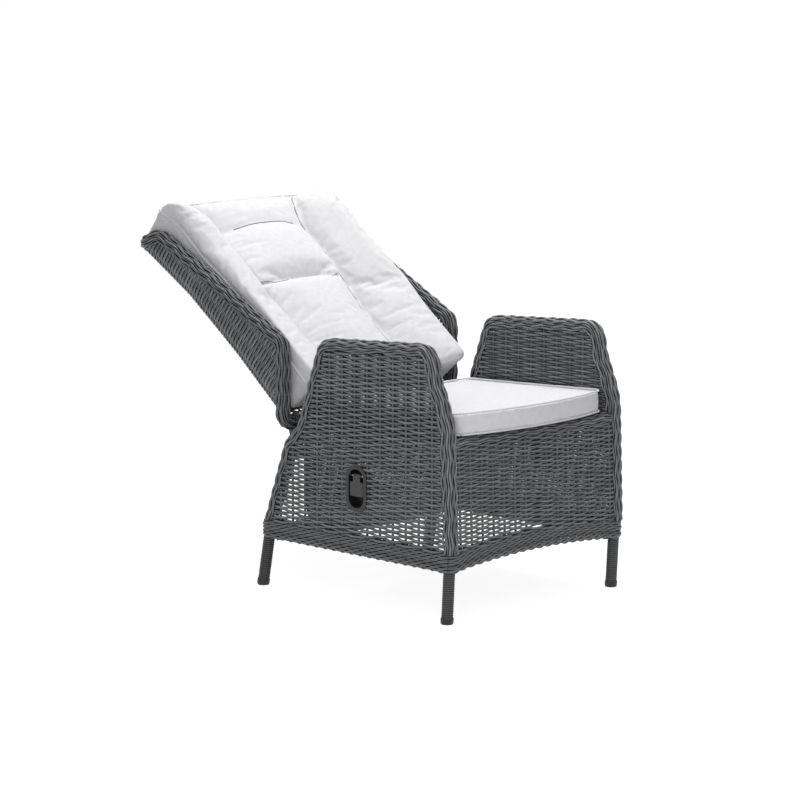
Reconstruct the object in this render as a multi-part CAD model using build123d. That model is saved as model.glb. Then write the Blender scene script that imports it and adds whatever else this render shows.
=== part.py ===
from build123d import *
import math
import os

# Reclining garden armchair, in millimetres. +Z is up, the sitter faces -Y, and X = 0 is the middle
# plane. The model is drawn with Y = 0 midway between the front and back feet, and the last step
# moves it along Y so that the origin is under the middle of the whole reclined chair.

# Gaps
fit_gap = 0.1          # radial gap of a wrap or plug on its tube
seat_gap = 0.3         # gap where one piece lies against another
run_gap = 0.06         # radial running clearance of a pin in its bore
overrun = 5.0          # how far a cutting tool runs past what it cuts

# Side frames: one bent tube a side, from front foot over the arm to back foot
frame_x = 291.0
frame_tube_dia = 25.0
frame_tube_wall = 1.5
front_foot_y = -311.0
front_post_y = -321.0
front_post_z = 177.0
front_bend_y = -311.0
front_bend_radius = 200.0
front_post_radius = 300.0
arm_front_y = -259.0
arm_front_z = 636.0
front_upper_y = -266.0
front_upper_drop = 58.0  # how far below the arm the post's upper bend lies
front_upper_z = arm_front_z - front_upper_drop
front_bend_drop = 107.0  # how far below the upper bend the lower one lies
front_bend_z = front_upper_z - front_bend_drop
front_upper_radius = 80.0
arm_rear_y = 90.0
arm_rear_z = 615.5
arm_front_radius = 32.0
arm_rear_radius = 30.0
step_top_y = 164.0
step_top_z = 403.5
step_low_y = 209.0
step_low_z = 362.0
step_radius = 30.0
back_bend_y = 289.0    # the back leg stands steeper below this point
back_bend_z = 140.0
back_bend_radius = 100.0
back_foot_y = 316.0

# Wraps round the frame
rim_dia = 39.0
leg_wrap_dia = 29.0
skirt_low_z = 123.0
skirt_height = 47.0
skirt_thick = 26.0
skirt_corner = 9.0
skirt_out = 2.0        # how far the skirt's middle stands outside the frame's middle
front_arch = 17.0      # rise of the front skirt at its middle

# Foot caps
cap_dia = 31.0
cap_height = 14.0
cap_round = 8.0
cap_plug_length = 22.0

# Woven panels
weave_thick = 9.0
panel_out = 9.0        # the front sheet and the shell lie outside the frame's middle
side_panel_out = 12.5  # the side sheets too, and the arms' linings as far inside it
lining_low_z = 405.0   # the linings end here, beside the seat cushion
rear_panel_y = 180.0
rear_frame_dia = 20.0
rear_frame_x = 262.0
rear_frame_low_z = 137.0
rear_frame_corner = 90.0

# Seat support
seat_tube_dia = 22.0
seat_tube_wall = 1.5
rail_stack = 11.0      # side rails' middle lines stand this far above the cross tubes'
front_rail_y = -311.0
front_wrap_dia = 31.0
seat_rail_x = 240.0
seat_bar_tube_dia = 16.0
seat_bar_count = 2
strap_count = 6
strap_width = 50.0
strap_thick = 2.0

# Seat cushion
seat_half_width = 262.0
seat_front_y = -306.0
seat_rear_y = 144.0
seat_front_low_z = 444.0
seat_drop = 19.0       # the cushion's underside falls by this much from front to rear
seat_thick = 48.0      # at the middle of the side edges
seat_bow = 44.0        # the front edge's middle stands ahead of its corners
seat_corner = 26.0
seat_draw_in = 5.0     # the sides pull in between the corners
seat_crown = 6.0
seat_edge_round = 11.0

# Backrest at rest, leaning right back: t runs up the back, n stands out of its front
back_angle = 37.7
back_origin_y = 264.0
back_origin_z = 429.0
recline_range = 20.0
pivot_z = 340.0        # the pivot lies on the back legs' middle line
wing_x = 294.0
back_tube_dia = 20.0
back_tube_wall = 1.5
back_rim_dia = 35.0
back_low_t = -31.0
back_low_n = 2.0
wing_corner_t = 88.0
wing_corner_n = 158.0
wing_corner_radius = 34.0
wing_top_t = 577.0
wing_top_n = 70.0
wing_top_radius = 60.0
back_top_rise = 43.0   # the top cross tube lies this far above the wings' upper corners
back_top_t = wing_top_t + back_top_rise
back_top_n = -4.0
back_top_corner = 45.0
back_low_corner = 24.0
shell_thick = 8.0
shell_corner = 58.0
brace_x = 130.0
brace_dia = 16.0

# Hinge
pivot_dia = 10.0
pivot_boss_dia = 22.0
arm_plate_x = 258.0
arm_plate_thick = 6.0
arm_plate_round = 17.0
bush_wall = 1.5
bush_flange = 20.0
bush_flange_thick = 1.5
nut_across = 17.0
nut_height = 8.0

# Back cushion
back_cushion_over = 25.0       # the cushion stands this far over the top cross tube
back_cushion_top_t = back_top_t + back_cushion_over
back_cushion_low_t = -39.0
back_cushion_heel_t = -6.0     # where its lower end meets the level of heel_n
back_cushion_heel_n = 78.0
back_cushion_half = 271.0
back_cushion_low_n = 152.0     # front of its lower tip
side_edge_n = 106.0            # piped edges of its sides
seam_n = 99.0                  # seams between the bolsters and the centre
crest_top_n = 124.0            # crests of the bolsters, at the top and at the bottom
crest_low_n = 152.0
seam_top_x = 178.0
seam_low_x = 128.0
centre_rise = 26.0             # crown of the centre over its seams
top_round = 34.0               # the top end rounds off over this length
top_pull_in = 14.0             # and by this much
deep_channel_below = 300.0     # how far below the cushion's top end the channels lie
soft_channel_below = 115.0
deep_channel_t = back_cushion_top_t - deep_channel_below
deep_channel_depth = 22.0
soft_channel_t = back_cushion_top_t - soft_channel_below
soft_channel_depth = 9.0
channel_half = 26.0

# Gas strut, with its rod end down
strut_low_y = 286.2
strut_low_z = 151.0
strut_high_y = 306.2
strut_high_z = 372.0
strut_pin_dia = 8.0
strut_eye_gap = 1.3    # play at the upper pin, where the linkage is opened
strut_tube_dia = 28.0
strut_tube_wall = 2.0
strut_rod_dia = 10.0
strut_gland_start = 78.0
strut_gland_length = 14.0
strut_tube_length = 124.0
strut_piston_length = 12.0
strut_piston_margin = 6.0
strut_head_half = 12.0
strut_head_top = 30.0
strut_lug_thick = 4.0
strut_lug_gap = 1.0
strut_lug_round = 11.0
strut_eye_round = 12.0
strut_eye_half = 7.0
rear_cross_y = 281.0   # the low cross rail runs ahead of the legs' middle lines
rear_rail_z = 125.0
rear_rail_dia = 25.0

# Release arm and cable
release_arm_thick = 3.0
release_arm_length = 32.0
release_arm_width = 9.0
release_arm_pin_dia = 5.0
release_arm_pin_rise = 6.0
cable_dia = 5.0
wire_dia = 1.6
wire_bore = 2.2
wire_bore_depth = 12.0
wire_reach = 11.0      # how far the lever's end of the wire starts inside the sheath
wire_keep = 3.5        # how far the arm's end of the wire starts inside the sheath
wire_free_length = 20.0
nipple_dia = 5.0
fork_slot = 3.2
fork_room = 1.2        # the fork's slot runs this much deeper, for the strut's swing
stop_thick = 3.0
clip_thick = 1.8
clip_place_shares = (0.2, 0.7)     # along the clipped run

# Release lever in the left side panel
lever_y = -30.0
lever_z = 287.0
housing_width = 68.0
housing_height = 112.0
housing_flange_thick = 3.0
housing_wall = 2.5
housing_border = 7.0
housing_depth = 26.0
housing_corner_share = 0.45        # of the width
lever_pin_dia = 5.0
lever_pin_z = 317.0
lever_stem_width = 23.0
lever_paddle_width = 43.0
lever_paddle_top_z = 303.0
lever_paddle_low_z = 268.0
lever_thick = 6.0
lever_round = 5.0
hook_drop = 17.0       # the wire runs this far below the lever pin
hook_reach = 8.0       # from the lever pin's line back to the hook's face
hook_width = 10.0
hook_low = 6.0         # the hook reaches this far below the wire
hook_rise = 6.0        # the slot in the hook reaches this far above the wire

# Release cable: its straight runs meet at these points, from the lever down to the strut
cable_upper_route = [
    (-254.0, lever_y, lever_pin_z - hook_drop),
    (-237.0, lever_y, 283.0),
    (-237.0, -29.0, 250.0),
    (-254.0, -22.0, 205.0),
    (-274.0, 10.0, 178.0),
    (-278.0, 70.0, 176.5),
    (-278.0, 205.0, 177.0),
    (-262.0, 238.2, 152.0),
    (-226.0, 257.2, 131.0),
]
clipped_from_x = -190.0            # the run along the front of the low cross rail
clipped_from_z = 124.0
clipped_to_x = -104.0
clipped_to_z = 117.0
cable_lower_route = [
    (-75.0, 262.2, 101.0),
    (-48.0, 259.2, 94.0),
    (-25.0, 256.7, 99.0),
]
cable_last_run = 26.0              # upright run below the cable stop
cable_bend_share = 0.45            # of the shorter run that each bend takes up


def front_leg_y(height):
    """Y of a front leg's middle line at a height above the floor."""
    return front_foot_y + (front_post_y - front_foot_y) * height / front_post_z


def back_leg_y(height):
    """Y of a back leg's middle line at a height above the floor, below its bend and above it."""
    if height < back_bend_z:
        return back_foot_y + (back_bend_y - back_foot_y) * height / back_bend_z
    share = (height - back_bend_z) / (step_low_z - back_bend_z)
    return back_bend_y + (step_low_y - back_bend_y) * share


pivot_y = back_leg_y(pivot_z)


def yz_direction(angle):
    """Unit vector in the YZ plane, its angle in degrees from +Y towards +Z."""
    turn = math.radians(angle)
    return Vector(0, math.cos(turn), math.sin(turn))


back_up = yz_direction(back_angle)
back_out = yz_direction(back_angle + 90)
back_origin = Vector(0, back_origin_y, back_origin_z)


def on_back(x, t, n):
    """Point of the reclined backrest, t up the back and n out of its front."""
    return back_origin + Vector(x, 0, 0) + back_up * t + back_out * n


def both_sides(shape):
    """The shape and its mirror image on the other side of the chair."""
    return [shape, mirror(shape, about=Plane.YZ)]


def round_sweep(path, diameter):
    """Solid rod along a path."""
    start = Plane(origin=path @ 0, z_dir=path % 0)
    return sweep(start * Circle(diameter / 2), path=path)


def tube_sweep(path, diameter, wall):
    """Open tube along a path."""
    start = Plane(origin=path @ 0, z_dir=path % 0)
    ring = Circle(diameter / 2) - Circle(diameter / 2 - wall)
    return sweep(start * ring, path=path)


def rod(start, end, diameter):
    """Straight round bar from one point to another."""
    axis = Vector(*end) - Vector(*start)
    return Plane(origin=start, z_dir=axis) * Cylinder(
        diameter / 2, axis.length, align=(Align.CENTER, Align.CENTER, Align.MIN)
    )


def straight_tube(start, end, diameter, wall):
    """Straight open tube from one point to another."""
    return rod(start, end, diameter) - rod(start, end, diameter - 2 * wall)


def side_plate(outline, x_low, x_high):
    """Plate between two X values, from a face drawn in the YZ plane."""
    return extrude(Pos(x_low, 0, 0) * outline, amount=x_high - x_low, dir=(1, 0, 0))


def yz_points(*pairs):
    """Points in the YZ plane."""
    return [(0, y, z) for y, z in pairs]


def link_plate(start, start_radius, end, end_radius, x_low, x_high):
    """Flat bar between two X values with round ends, its long edges tangent to both."""
    start, end = Vector(0, start.Y, start.Z), Vector(0, end.Y, end.Z)
    along = (end - start).normalized()
    across = Vector(0, -along.Z, along.Y)
    lean = (start_radius - end_radius) / (end - start).length
    upper = along * lean + across * math.sqrt(1 - lean ** 2)
    lower = along * lean - across * math.sqrt(1 - lean ** 2)
    outline = Polyline(
        start + upper * start_radius, end + upper * end_radius,
        end + lower * end_radius, start + lower * start_radius, close=True,
    )
    plate = side_plate(make_face(outline), x_low, x_high)
    for point, radius in ((start, start_radius), (end, end_radius)):
        plate += rod((x_low, point.Y, point.Z), (x_high, point.Y, point.Z), 2 * radius)
    return plate


# Side frame: the middle line of the tube, in Y and Z
def side_line(low_z):
    """Middle line of a side frame, cut off at a height above the floor at both ends."""
    return [
        (front_leg_y(low_z), low_z),
        (front_post_y, front_post_z),
        (front_bend_y, front_bend_z),
        (front_upper_y, front_upper_z),
        (arm_front_y, arm_front_z),
        (arm_rear_y, arm_rear_z),
        (step_top_y, step_top_z),
        (step_low_y, step_low_z),
        (back_bend_y, back_bend_z),
        (back_leg_y(low_z), low_z),
    ]


side_radii = [
    front_post_radius,
    front_bend_radius,
    front_upper_radius,
    arm_front_radius,
    arm_rear_radius,
    step_radius,
    step_radius,
    back_bend_radius,
]


def side_path(low_z):
    """Filleted path of a side frame on the left side."""
    line = FilletPolyline(*yz_points(*side_line(low_z)), radius=side_radii)
    return Pos(-frame_x, 0, 0) * line


def side_frame():
    """Bent frame tube of the left side, foot to foot."""
    return tube_sweep(side_path(cap_height + seat_gap), frame_tube_dia, frame_tube_wall)


def arm_rim():
    """Wrapped rim of the left side: both posts and the arm rail, over the frame tube."""
    path = side_path(skirt_low_z)
    wall = (rim_dia - frame_tube_dia) / 2 - fit_gap
    return tube_sweep(path, rim_dia, wall)


def leg_line(leg_y, low_z, high_z):
    """Two points on a left leg's middle line, both below its bend."""
    return Vector(-frame_x, leg_y(low_z), low_z), Vector(-frame_x, leg_y(high_z), high_z)


def leg_wraps():
    """Fine wrap of each leg, between the skirt and the foot cap."""
    wraps = []
    wall = (leg_wrap_dia - frame_tube_dia) / 2 - fit_gap
    for leg_y in (front_leg_y, back_leg_y):
        low, high = leg_line(leg_y, cap_height + seat_gap, skirt_low_z - seat_gap)
        wraps += both_sides(straight_tube(low, high, leg_wrap_dia, wall))
    return wraps


def foot_caps():
    """Rounded foot cap on each leg, with a plug in the tube and a flat under it."""
    caps = []
    bore = frame_tube_dia / 2 - frame_tube_wall - fit_gap
    for leg_y in (front_leg_y, back_leg_y):
        low, high = leg_line(leg_y, cap_height, skirt_low_z)
        axis = (high - low).normalized()
        profile = Polyline(
            (0, -cap_height - overrun), (cap_dia / 2, -cap_height - overrun), (cap_dia / 2, 0),
            (bore, 0), (bore, cap_plug_length), (0, cap_plug_length), close=True,
        )
        turned = revolve(Plane.XZ * make_face(profile), axis=Axis.Z)
        low_edge = turned.edges().filter_by(GeomType.CIRCLE).sort_by(Axis.Z)[0]
        turned = fillet(low_edge, cap_round + overrun / 2)
        cap = Plane(origin=low, z_dir=axis) * turned
        floor = Pos(0, 0, -cap_height) * Box(*[4 * frame_x] * 2, 2 * cap_height)
        caps += both_sides(cap - floor)
    return caps


# Skirts and lower rails
skirt_middle_z = skirt_low_z + skirt_height / 2
skirt_x = frame_x + skirt_out
skirt_top_z = skirt_low_z + skirt_height


def rim_solids(side_x, clearance):
    """Solid rods a little larger than the rims, for cutting what ends against them."""
    path = side_path(skirt_low_z - overrun)
    grown = round_sweep(path, rim_dia + 2 * clearance)
    return grown if side_x < 0 else mirror(grown, about=Plane.YZ)


def side_skirt():
    """Bordered lower edge of the left side panel, front post to back post."""
    front, back = front_leg_y(skirt_middle_z), back_leg_y(skirt_middle_z)
    section = RectangleRounded(skirt_thick, skirt_height, skirt_corner)
    plane = Plane(origin=(-skirt_x, front, skirt_middle_z), x_dir=(1, 0, 0), z_dir=(0, 1, 0))
    bar = extrude(plane * section, amount=back - front)
    bar -= rod((-frame_x, front, 0), (-frame_x, front, skirt_top_z * 2), rim_dia + 2 * seat_gap)
    return bar - rim_solids(-1, seat_gap)


def front_skirt_bar(thick, low_z, high_z):
    """Arched bar between the rims of the front posts, with square edges."""
    y = front_leg_y(skirt_middle_z) - skirt_out
    reach = frame_x - rim_dia / 2 - seat_gap
    lower = ThreePointArc((-reach, low_z), (0, low_z + front_arch), (reach, low_z))
    upper = ThreePointArc((reach, high_z), (0, high_z + front_arch), (-reach, high_z))
    ends = [Line(lower @ 1, upper @ 0), Line(upper @ 1, lower @ 0)]
    pieces = [lower, ends[0], upper, ends[1]]
    outline = make_face(Wire([edge for piece in pieces for edge in piece.edges()]))
    return extrude(Plane.XZ.offset(-y - thick / 2) * outline, amount=thick)


def front_skirt():
    """Bordered lower edge of the front panel, arched up in the middle."""
    bar = front_skirt_bar(skirt_thick, skirt_low_z, skirt_top_z)
    return chamfer(bar.edges().filter_by(GeomType.CIRCLE), skirt_corner / 2)


# Woven panels of the base
def side_sheet(middle, low_z):
    """Woven sheet inside the rim of the left side frame, about an X value and above a height."""
    line = FilletPolyline(*yz_points(*side_line(skirt_low_z)), radius=side_radii)
    outline = make_face(Wire([*line.edges(), Edge.make_line(line @ 1, line @ 0)]))
    near = side_panel_out - weave_thick / 2
    outline = offset(outline, amount=-math.sqrt((rim_dia / 2 + seat_gap) ** 2 - near ** 2))
    sheet = side_plate(outline, middle - weave_thick / 2, middle + weave_thick / 2)
    below = Pos(middle, 0, low_z) * Box(
        4 * weave_thick, 4 * frame_x, low_z, align=(Align.CENTER, Align.CENTER, Align.MAX)
    )
    return sheet - below


def side_panel(with_lever):
    """Woven sheet of the left side, set in the rim and standing on the skirt."""
    middle = -frame_x - side_panel_out
    panel = side_sheet(middle, skirt_top_z + seat_gap)
    if with_lever:
        hole = housing_outline(housing_width - 2 * housing_border + 2 * seat_gap,
                               housing_height - 2 * housing_border + 2 * seat_gap)
        panel -= side_plate(hole, middle - weave_thick, middle + weave_thick)
    return panel


def arm_lining():
    """Woven sheet on the inner side of the left arm, above the seat."""
    return side_sheet(side_panel_out - frame_x, lining_low_z)


def front_panel():
    """Woven sheet of the front, between the posts."""
    low_y = front_leg_y(skirt_top_z)
    lean = math.atan2(front_bend_y - front_post_y, front_bend_z - front_post_z)
    reach = frame_x - rim_dia / 2 + weave_thick / 2
    low_z = skirt_top_z + seat_gap
    top_z = front_rail_z - front_wrap_dia / 3
    arc = ThreePointArc((-reach, low_z), (0, low_z + front_arch), (reach, low_z))
    top = Polyline((reach, low_z), (reach, top_z), (-reach, top_z), (-reach, low_z))
    sheet = make_face(Wire([*arc.edges(), *top.edges()]))
    flat = Plane(origin=(0, low_y, low_z), x_dir=(1, 0, 0), z_dir=(0, -math.cos(lean), math.sin(lean)))
    panel = extrude(flat * Pos(0, -low_z, panel_out - weave_thick / 2) * sheet, amount=weave_thick)
    for side in (-1, 1):
        panel -= rim_solids(side, seat_gap)
    panel -= rod((-frame_x, front_rail_y, front_rail_z), (frame_x, front_rail_y, front_rail_z),
                 front_wrap_dia + 2 * seat_gap)
    return panel - front_skirt_bar(2 * skirt_thick, skirt_low_z, skirt_top_z + seat_gap)


def rear_frame_line():
    """Middle line of the bent tube that holds the rear panel."""
    x, y, low_z, top_z = rear_frame_x, rear_panel_y, rear_frame_low_z, seat_rear_rail_z
    return FilletPolyline(
        (-x, y, top_z), (-x, y, low_z), (x, y, low_z), (x, y, top_z), radius=rear_frame_corner
    )


def rear_rail_keepout():
    """Room of the cross tube under the back of the seat."""
    y, z = rear_panel_y, seat_rear_rail_z
    return rod((-frame_x, y, z), (frame_x, y, z), seat_tube_dia + 2 * seat_gap)


def rear_frame():
    """Bent tube under the back of the seat, welded at both ends to the rear cross tube."""
    return tube_sweep(rear_frame_line(), rear_frame_dia, frame_tube_wall) - rear_rail_keepout()


def rear_panel():
    """Woven sheet inside the rear bent tube."""
    line = rear_frame_line()
    sheet = make_face(Wire([*line.edges(), Edge.make_line(line @ 1, line @ 0)]))
    sheet = offset(sheet, amount=-(rear_frame_dia / 2 + seat_gap))
    panel = extrude(Pos(0, weave_thick / 2, 0) * sheet, amount=weave_thick, dir=(0, -1, 0))
    return panel - rear_rail_keepout()


# Seat support
def seat_low_z(y):
    """Height of the seat cushion's underside."""
    return seat_front_low_z - seat_drop * (y - seat_front_y) / (seat_rear_y - seat_front_y)


seat_slope = math.atan2(seat_drop, seat_rear_y - seat_front_y)
rail_drop = seat_tube_dia / 2 + strap_thick + 2 * seat_gap
front_rail_z = seat_low_z(front_rail_y) - rail_drop - rail_stack
rear_rail_y = rear_panel_y
seat_rear_rail_z = seat_low_z(rear_rail_y) - rail_drop - rail_stack


def front_rail():
    """Cross tube between the front posts."""
    reach = frame_x - frame_tube_dia / 2
    y, z = front_rail_y, front_rail_z
    bar = straight_tube((-reach, y, z), (reach, y, z), seat_tube_dia, seat_tube_wall)
    for side in (-1, 1):
        bar -= rim_solids(side, seat_gap)
    return bar


def front_rail_wrap():
    """Wrapped roll along the top of the front panel."""
    reach = frame_x - rim_dia / 2
    y, z = front_rail_y, front_rail_z
    wall = (front_wrap_dia - seat_tube_dia) / 2 - fit_gap
    roll = straight_tube((-reach, y, z), (reach, y, z), front_wrap_dia, wall)
    for side in (-1, 1):
        roll -= rim_solids(side, seat_gap)
    for rail in seat_rail_rods(seat_gap):
        roll -= rail
    return roll


def seat_rail_ends():
    """Front and rear end of the left seat side rail's middle line."""
    low = Vector(-seat_rail_x, front_rail_y, front_rail_z + rail_stack)
    high = Vector(-seat_rail_x, rear_rail_y, seat_rear_rail_z + rail_stack)
    return low, high


def seat_rail_rods(clearance):
    """The two seat side rails as solid rods, for cutting what they pass through."""
    low, high = seat_rail_ends()
    return both_sides(rod(low, high, seat_tube_dia + 2 * clearance))


def rear_seat_rail():
    """Cross tube under the back of the seat, carried by the rear bent tube."""
    y, z = rear_rail_y, seat_rear_rail_z
    reach = frame_x - frame_tube_dia / 2
    bar = straight_tube((-reach, y, z), (reach, y, z), seat_tube_dia, seat_tube_wall)
    for side in (-1, 1):
        bar -= rim_solids(side, seat_gap)
    return bar


def seat_side_rails():
    """Tubes along both sides of the seat, welded on the cross tubes."""
    low, high = seat_rail_ends()
    tube = straight_tube(low, high, seat_tube_dia, seat_tube_wall)
    for y, z in ((front_rail_y, front_rail_z), (rear_rail_y, seat_rear_rail_z)):
        tube -= rod((-frame_x, y, z), (frame_x, y, z), seat_tube_dia + 2 * seat_gap)
    return both_sides(tube)


def seat_rail_height(y):
    """Height of the seat side rails' middle line."""
    share = (y - front_rail_y) / (rear_rail_y - front_rail_y)
    return front_rail_z + rail_stack + (seat_rear_rail_z - front_rail_z) * share


def seat_cross_bars():
    """Cross bars between the seat side rails, under the straps."""
    bars = []
    reach = seat_rail_x - seat_tube_dia / 2 - seat_gap
    for index in range(seat_bar_count):
        share = (index + 1) / (seat_bar_count + 1)
        y = front_rail_y + (rear_rail_y - front_rail_y) * share
        z = seat_rail_height(y)
        bars.append(straight_tube((-reach, y, z), (reach, y, z), seat_bar_tube_dia, seat_tube_wall))
    return bars


def seat_straps():
    """Flat elastic straps across the seat side rails, under the cushion."""
    straps = []
    first = front_rail_y + seat_tube_dia + strap_width / 2
    last = rear_rail_y - seat_tube_dia - strap_width / 2
    for index in range(strap_count):
        y = first + (last - first) * index / (strap_count - 1)
        z = seat_low_z(y) - seat_gap - strap_thick / 2
        plate = Box(2 * seat_rail_x + seat_tube_dia, strap_width, strap_thick)
        straps.append(Pos(0, y, z) * Rot(-math.degrees(seat_slope), 0, 0) * plate)
    return straps


# Seat cushion
def seat_cushion():
    """Boxed seat cushion with a bowed front, drawn-in sides and a crown."""
    half = seat_half_width
    length = seat_rear_y - seat_front_y
    front = ThreePointArc((-half, 0), (0, -seat_bow), (half, 0))
    right = ThreePointArc((half, 0), (half - seat_draw_in, length / 2), (half, length))
    back = ThreePointArc((half, length), (0, length - seat_draw_in), (-half, length))
    left = ThreePointArc((-half, length), (-half + seat_draw_in, length / 2), (-half, 0))
    outline = make_face(Wire([*front.edges(), *right.edges(), *back.edges(), *left.edges()]))
    outline = fillet(outline.vertices(), seat_corner)
    plane = Plane(
        origin=(0, seat_front_y, seat_front_low_z), x_dir=(1, 0, 0),
        z_dir=(0, math.sin(seat_slope), math.cos(seat_slope)),
    )
    block = extrude(plane * outline, amount=seat_thick + seat_crown)
    reach = half ** 2 / (2 * seat_crown)
    block &= plane * Pos(0, length / 2, seat_thick + seat_crown - reach) * Sphere(reach)
    edges = block.edges().filter_by(lambda e: e.length > seat_corner)
    upper = edges.sort_by(Axis.Z)[-4:]
    lower = edges.sort_by(Axis.Z)[:4]
    return fillet(upper + lower, seat_edge_round)


# Backrest
def wing_line():
    """Corner points of the back rim, in t and n, from the lower cross tube to the top."""
    return [
        (back_low_t, back_low_n),
        (wing_corner_t, wing_corner_n),
        (wing_top_t, wing_top_n),
        (back_top_t, back_top_n),
    ]


def back_loop():
    """Left half of the back frame's loop: lower cross tube, wing, top cross tube."""
    low, corner, top, crest = wing_line()
    points = [
        on_back(0, *low), on_back(-wing_x, *low), on_back(-wing_x, *corner),
        on_back(-wing_x, *top), on_back(-wing_x, *crest), on_back(0, *crest),
    ]
    return FilletPolyline(
        *points, radius=[back_low_corner, wing_corner_radius, wing_top_radius, back_top_corner]
    )


def back_frame():
    """Bent tube loop of the backrest."""
    half = tube_sweep(back_loop(), back_tube_dia, back_tube_wall)
    return half + mirror(half, about=Plane.YZ)


def back_rim():
    """Wrapped rim of the backrest over the tube loop, open round the brackets."""
    wall = (back_rim_dia - back_tube_dia) / 2 - fit_gap
    half = tube_sweep(back_loop(), back_rim_dia, wall)
    rim = half + mirror(half, about=Plane.YZ)
    low = on_back(0, back_low_t, back_low_n)
    gaps = both_sides(
        Pos(-arm_plate_x - arm_plate_thick / 2, low.Y, low.Z)
        * Box(arm_plate_thick + 2 * seat_gap, 2 * back_rim_dia, 2 * back_rim_dia)
    )
    for x_low, x_high in lug_spans(upper_lug_x):
        gaps.append(
            Pos((x_low + x_high) / 2, low.Y, low.Z)
            * Box(x_high - x_low + 2 * seat_gap, 2 * back_rim_dia, 2 * back_rim_dia)
        )
    for gap in gaps:
        rim -= gap
    return rim


def shell_outline():
    """Side view of the woven shell, inside the rim, as a face in the YZ plane."""
    low, corner, top, crest = wing_line()
    deep = -2 * shell_corner
    points = [on_back(0, *p) for p in (low, corner, top, crest)]
    points += [on_back(0, crest[0], deep), on_back(0, low[0], deep)]
    line = FilletPolyline(*points, radius=[wing_corner_radius, wing_top_radius, 0, 0])
    sheet = make_face(Wire([*line.edges(), Edge.make_line(line @ 1, line @ 0)]))
    return offset(sheet, amount=-(back_rim_dia / 2 + seat_gap))


def back_shell():
    """Woven shell: the flat back with its two wings, bent round at the corners."""
    outer = wing_x + panel_out / 2 + shell_thick / 2
    deep = wing_corner_n + shell_corner
    plane = Plane(origin=on_back(0, back_low_t, 0), x_dir=(-1, 0, 0), z_dir=back_up)
    sections = []
    for inset in (0, shell_thick):
        half = outer - inset
        line = FilletPolyline(
            (-half, deep), (-half, -shell_thick + inset), (half, -shell_thick + inset), (half, deep),
            radius=shell_corner - inset,
        )
        sections.append(make_face(Wire([*line.edges(), Edge.make_line(line @ 1, line @ 0)])))
    section = sections[0] - sections[1]
    shell = extrude(plane * section, amount=back_top_t - back_low_t)
    keep = side_plate(shell_outline(), -frame_x - rim_dia, frame_x + rim_dia)
    return shell & keep


def back_braces():
    """Two upright tubes in front of the woven shell, between the cross tubes."""
    n = seat_gap + brace_dia / 2
    low = on_back(-brace_x, back_low_t, n)
    high = on_back(-brace_x, back_top_t, n)
    brace = straight_tube(low, high, brace_dia, back_tube_wall)
    for t, level in ((back_low_t, back_low_n), (back_top_t, back_top_n)):
        middle = on_back(0, t, level)
        brace -= Pos(middle.X, middle.Y, middle.Z) * Rot(0, 90, 0) * Cylinder(
            back_rim_dia / 2 + seat_gap, 2 * frame_x
        )
    return both_sides(brace)


# Hinge
def hinge_plates():
    """Plates at both ends of the lower cross tube, bored for the pivot bushes."""
    low = on_back(0, back_low_t, back_low_n)
    pivot = Vector(0, pivot_y, pivot_z)
    plate = link_plate(pivot, arm_plate_round, low, back_rim_dia / 2,
                       -arm_plate_x - arm_plate_thick, -arm_plate_x)
    plate -= rod((-frame_x, low.Y, low.Z), (0, low.Y, low.Z), back_tube_dia + 2 * fit_gap)
    bore = pivot_dia + 2 * (run_gap + bush_wall + fit_gap)
    plate -= rod((-frame_x, pivot_y, pivot_z), (0, pivot_y, pivot_z), bore)
    return both_sides(plate)


def hinge_bushes():
    """Flanged nylon bushes pressed in the hinge plates."""
    outer = pivot_dia + 2 * (run_gap + bush_wall)
    inner = pivot_dia + 2 * run_gap
    x_out = -arm_plate_x - arm_plate_thick - fit_gap
    x_in = -arm_plate_x + bush_flange_thick
    body = rod((x_out, pivot_y, pivot_z), (x_in, pivot_y, pivot_z), outer)
    for start in (x_out - bush_flange_thick, -arm_plate_x + fit_gap):
        body += rod((start, pivot_y, pivot_z), (start + bush_flange_thick, pivot_y, pivot_z), bush_flange)
    bore = rod((x_out - overrun, pivot_y, pivot_z), (x_in + overrun, pivot_y, pivot_z), inner)
    return both_sides(body - bore)


def pivot_studs():
    """Boss welded to the side frame, with the stud that the backrest turns on."""
    boss_in = -arm_plate_x - arm_plate_thick - 2 * fit_gap - bush_flange_thick - seat_gap
    stud_in = -arm_plate_x + 2 * bush_flange_thick + nut_height + seat_gap
    boss = rod((-frame_x, pivot_y, pivot_z), (boss_in, pivot_y, pivot_z), pivot_boss_dia)
    boss += rod((-frame_x, pivot_y, pivot_z), (stud_in, pivot_y, pivot_z), pivot_dia)
    boss -= round_sweep(side_path(skirt_low_z), frame_tube_dia + 2 * fit_gap)
    return both_sides(boss)


def pivot_nuts():
    """Lock nuts on the pivot studs."""
    start = -arm_plate_x + bush_flange_thick + fit_gap + seat_gap
    across = Plane(origin=(start, pivot_y, pivot_z), z_dir=(1, 0, 0))
    nut = extrude(across * RegularPolygon(nut_across / 2, 6, major_radius=False), amount=nut_height)
    nut -= rod((start - overrun, pivot_y, pivot_z), (0, pivot_y, pivot_z), pivot_dia + 2 * fit_gap)
    return both_sides(nut)


# Gas strut
strut_low = Vector(0, strut_low_y, strut_low_z)
strut_high = Vector(0, strut_high_y, strut_high_z)


def turned_back(point, angle):
    """Where a point of the reclined backrest goes when the back is raised by an angle."""
    turn = math.radians(angle)
    y, z = point.Y - pivot_y, point.Z - pivot_z
    return Vector(
        point.X,
        pivot_y + y * math.cos(turn) - z * math.sin(turn),
        pivot_z + y * math.sin(turn) + z * math.cos(turn),
    )


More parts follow.
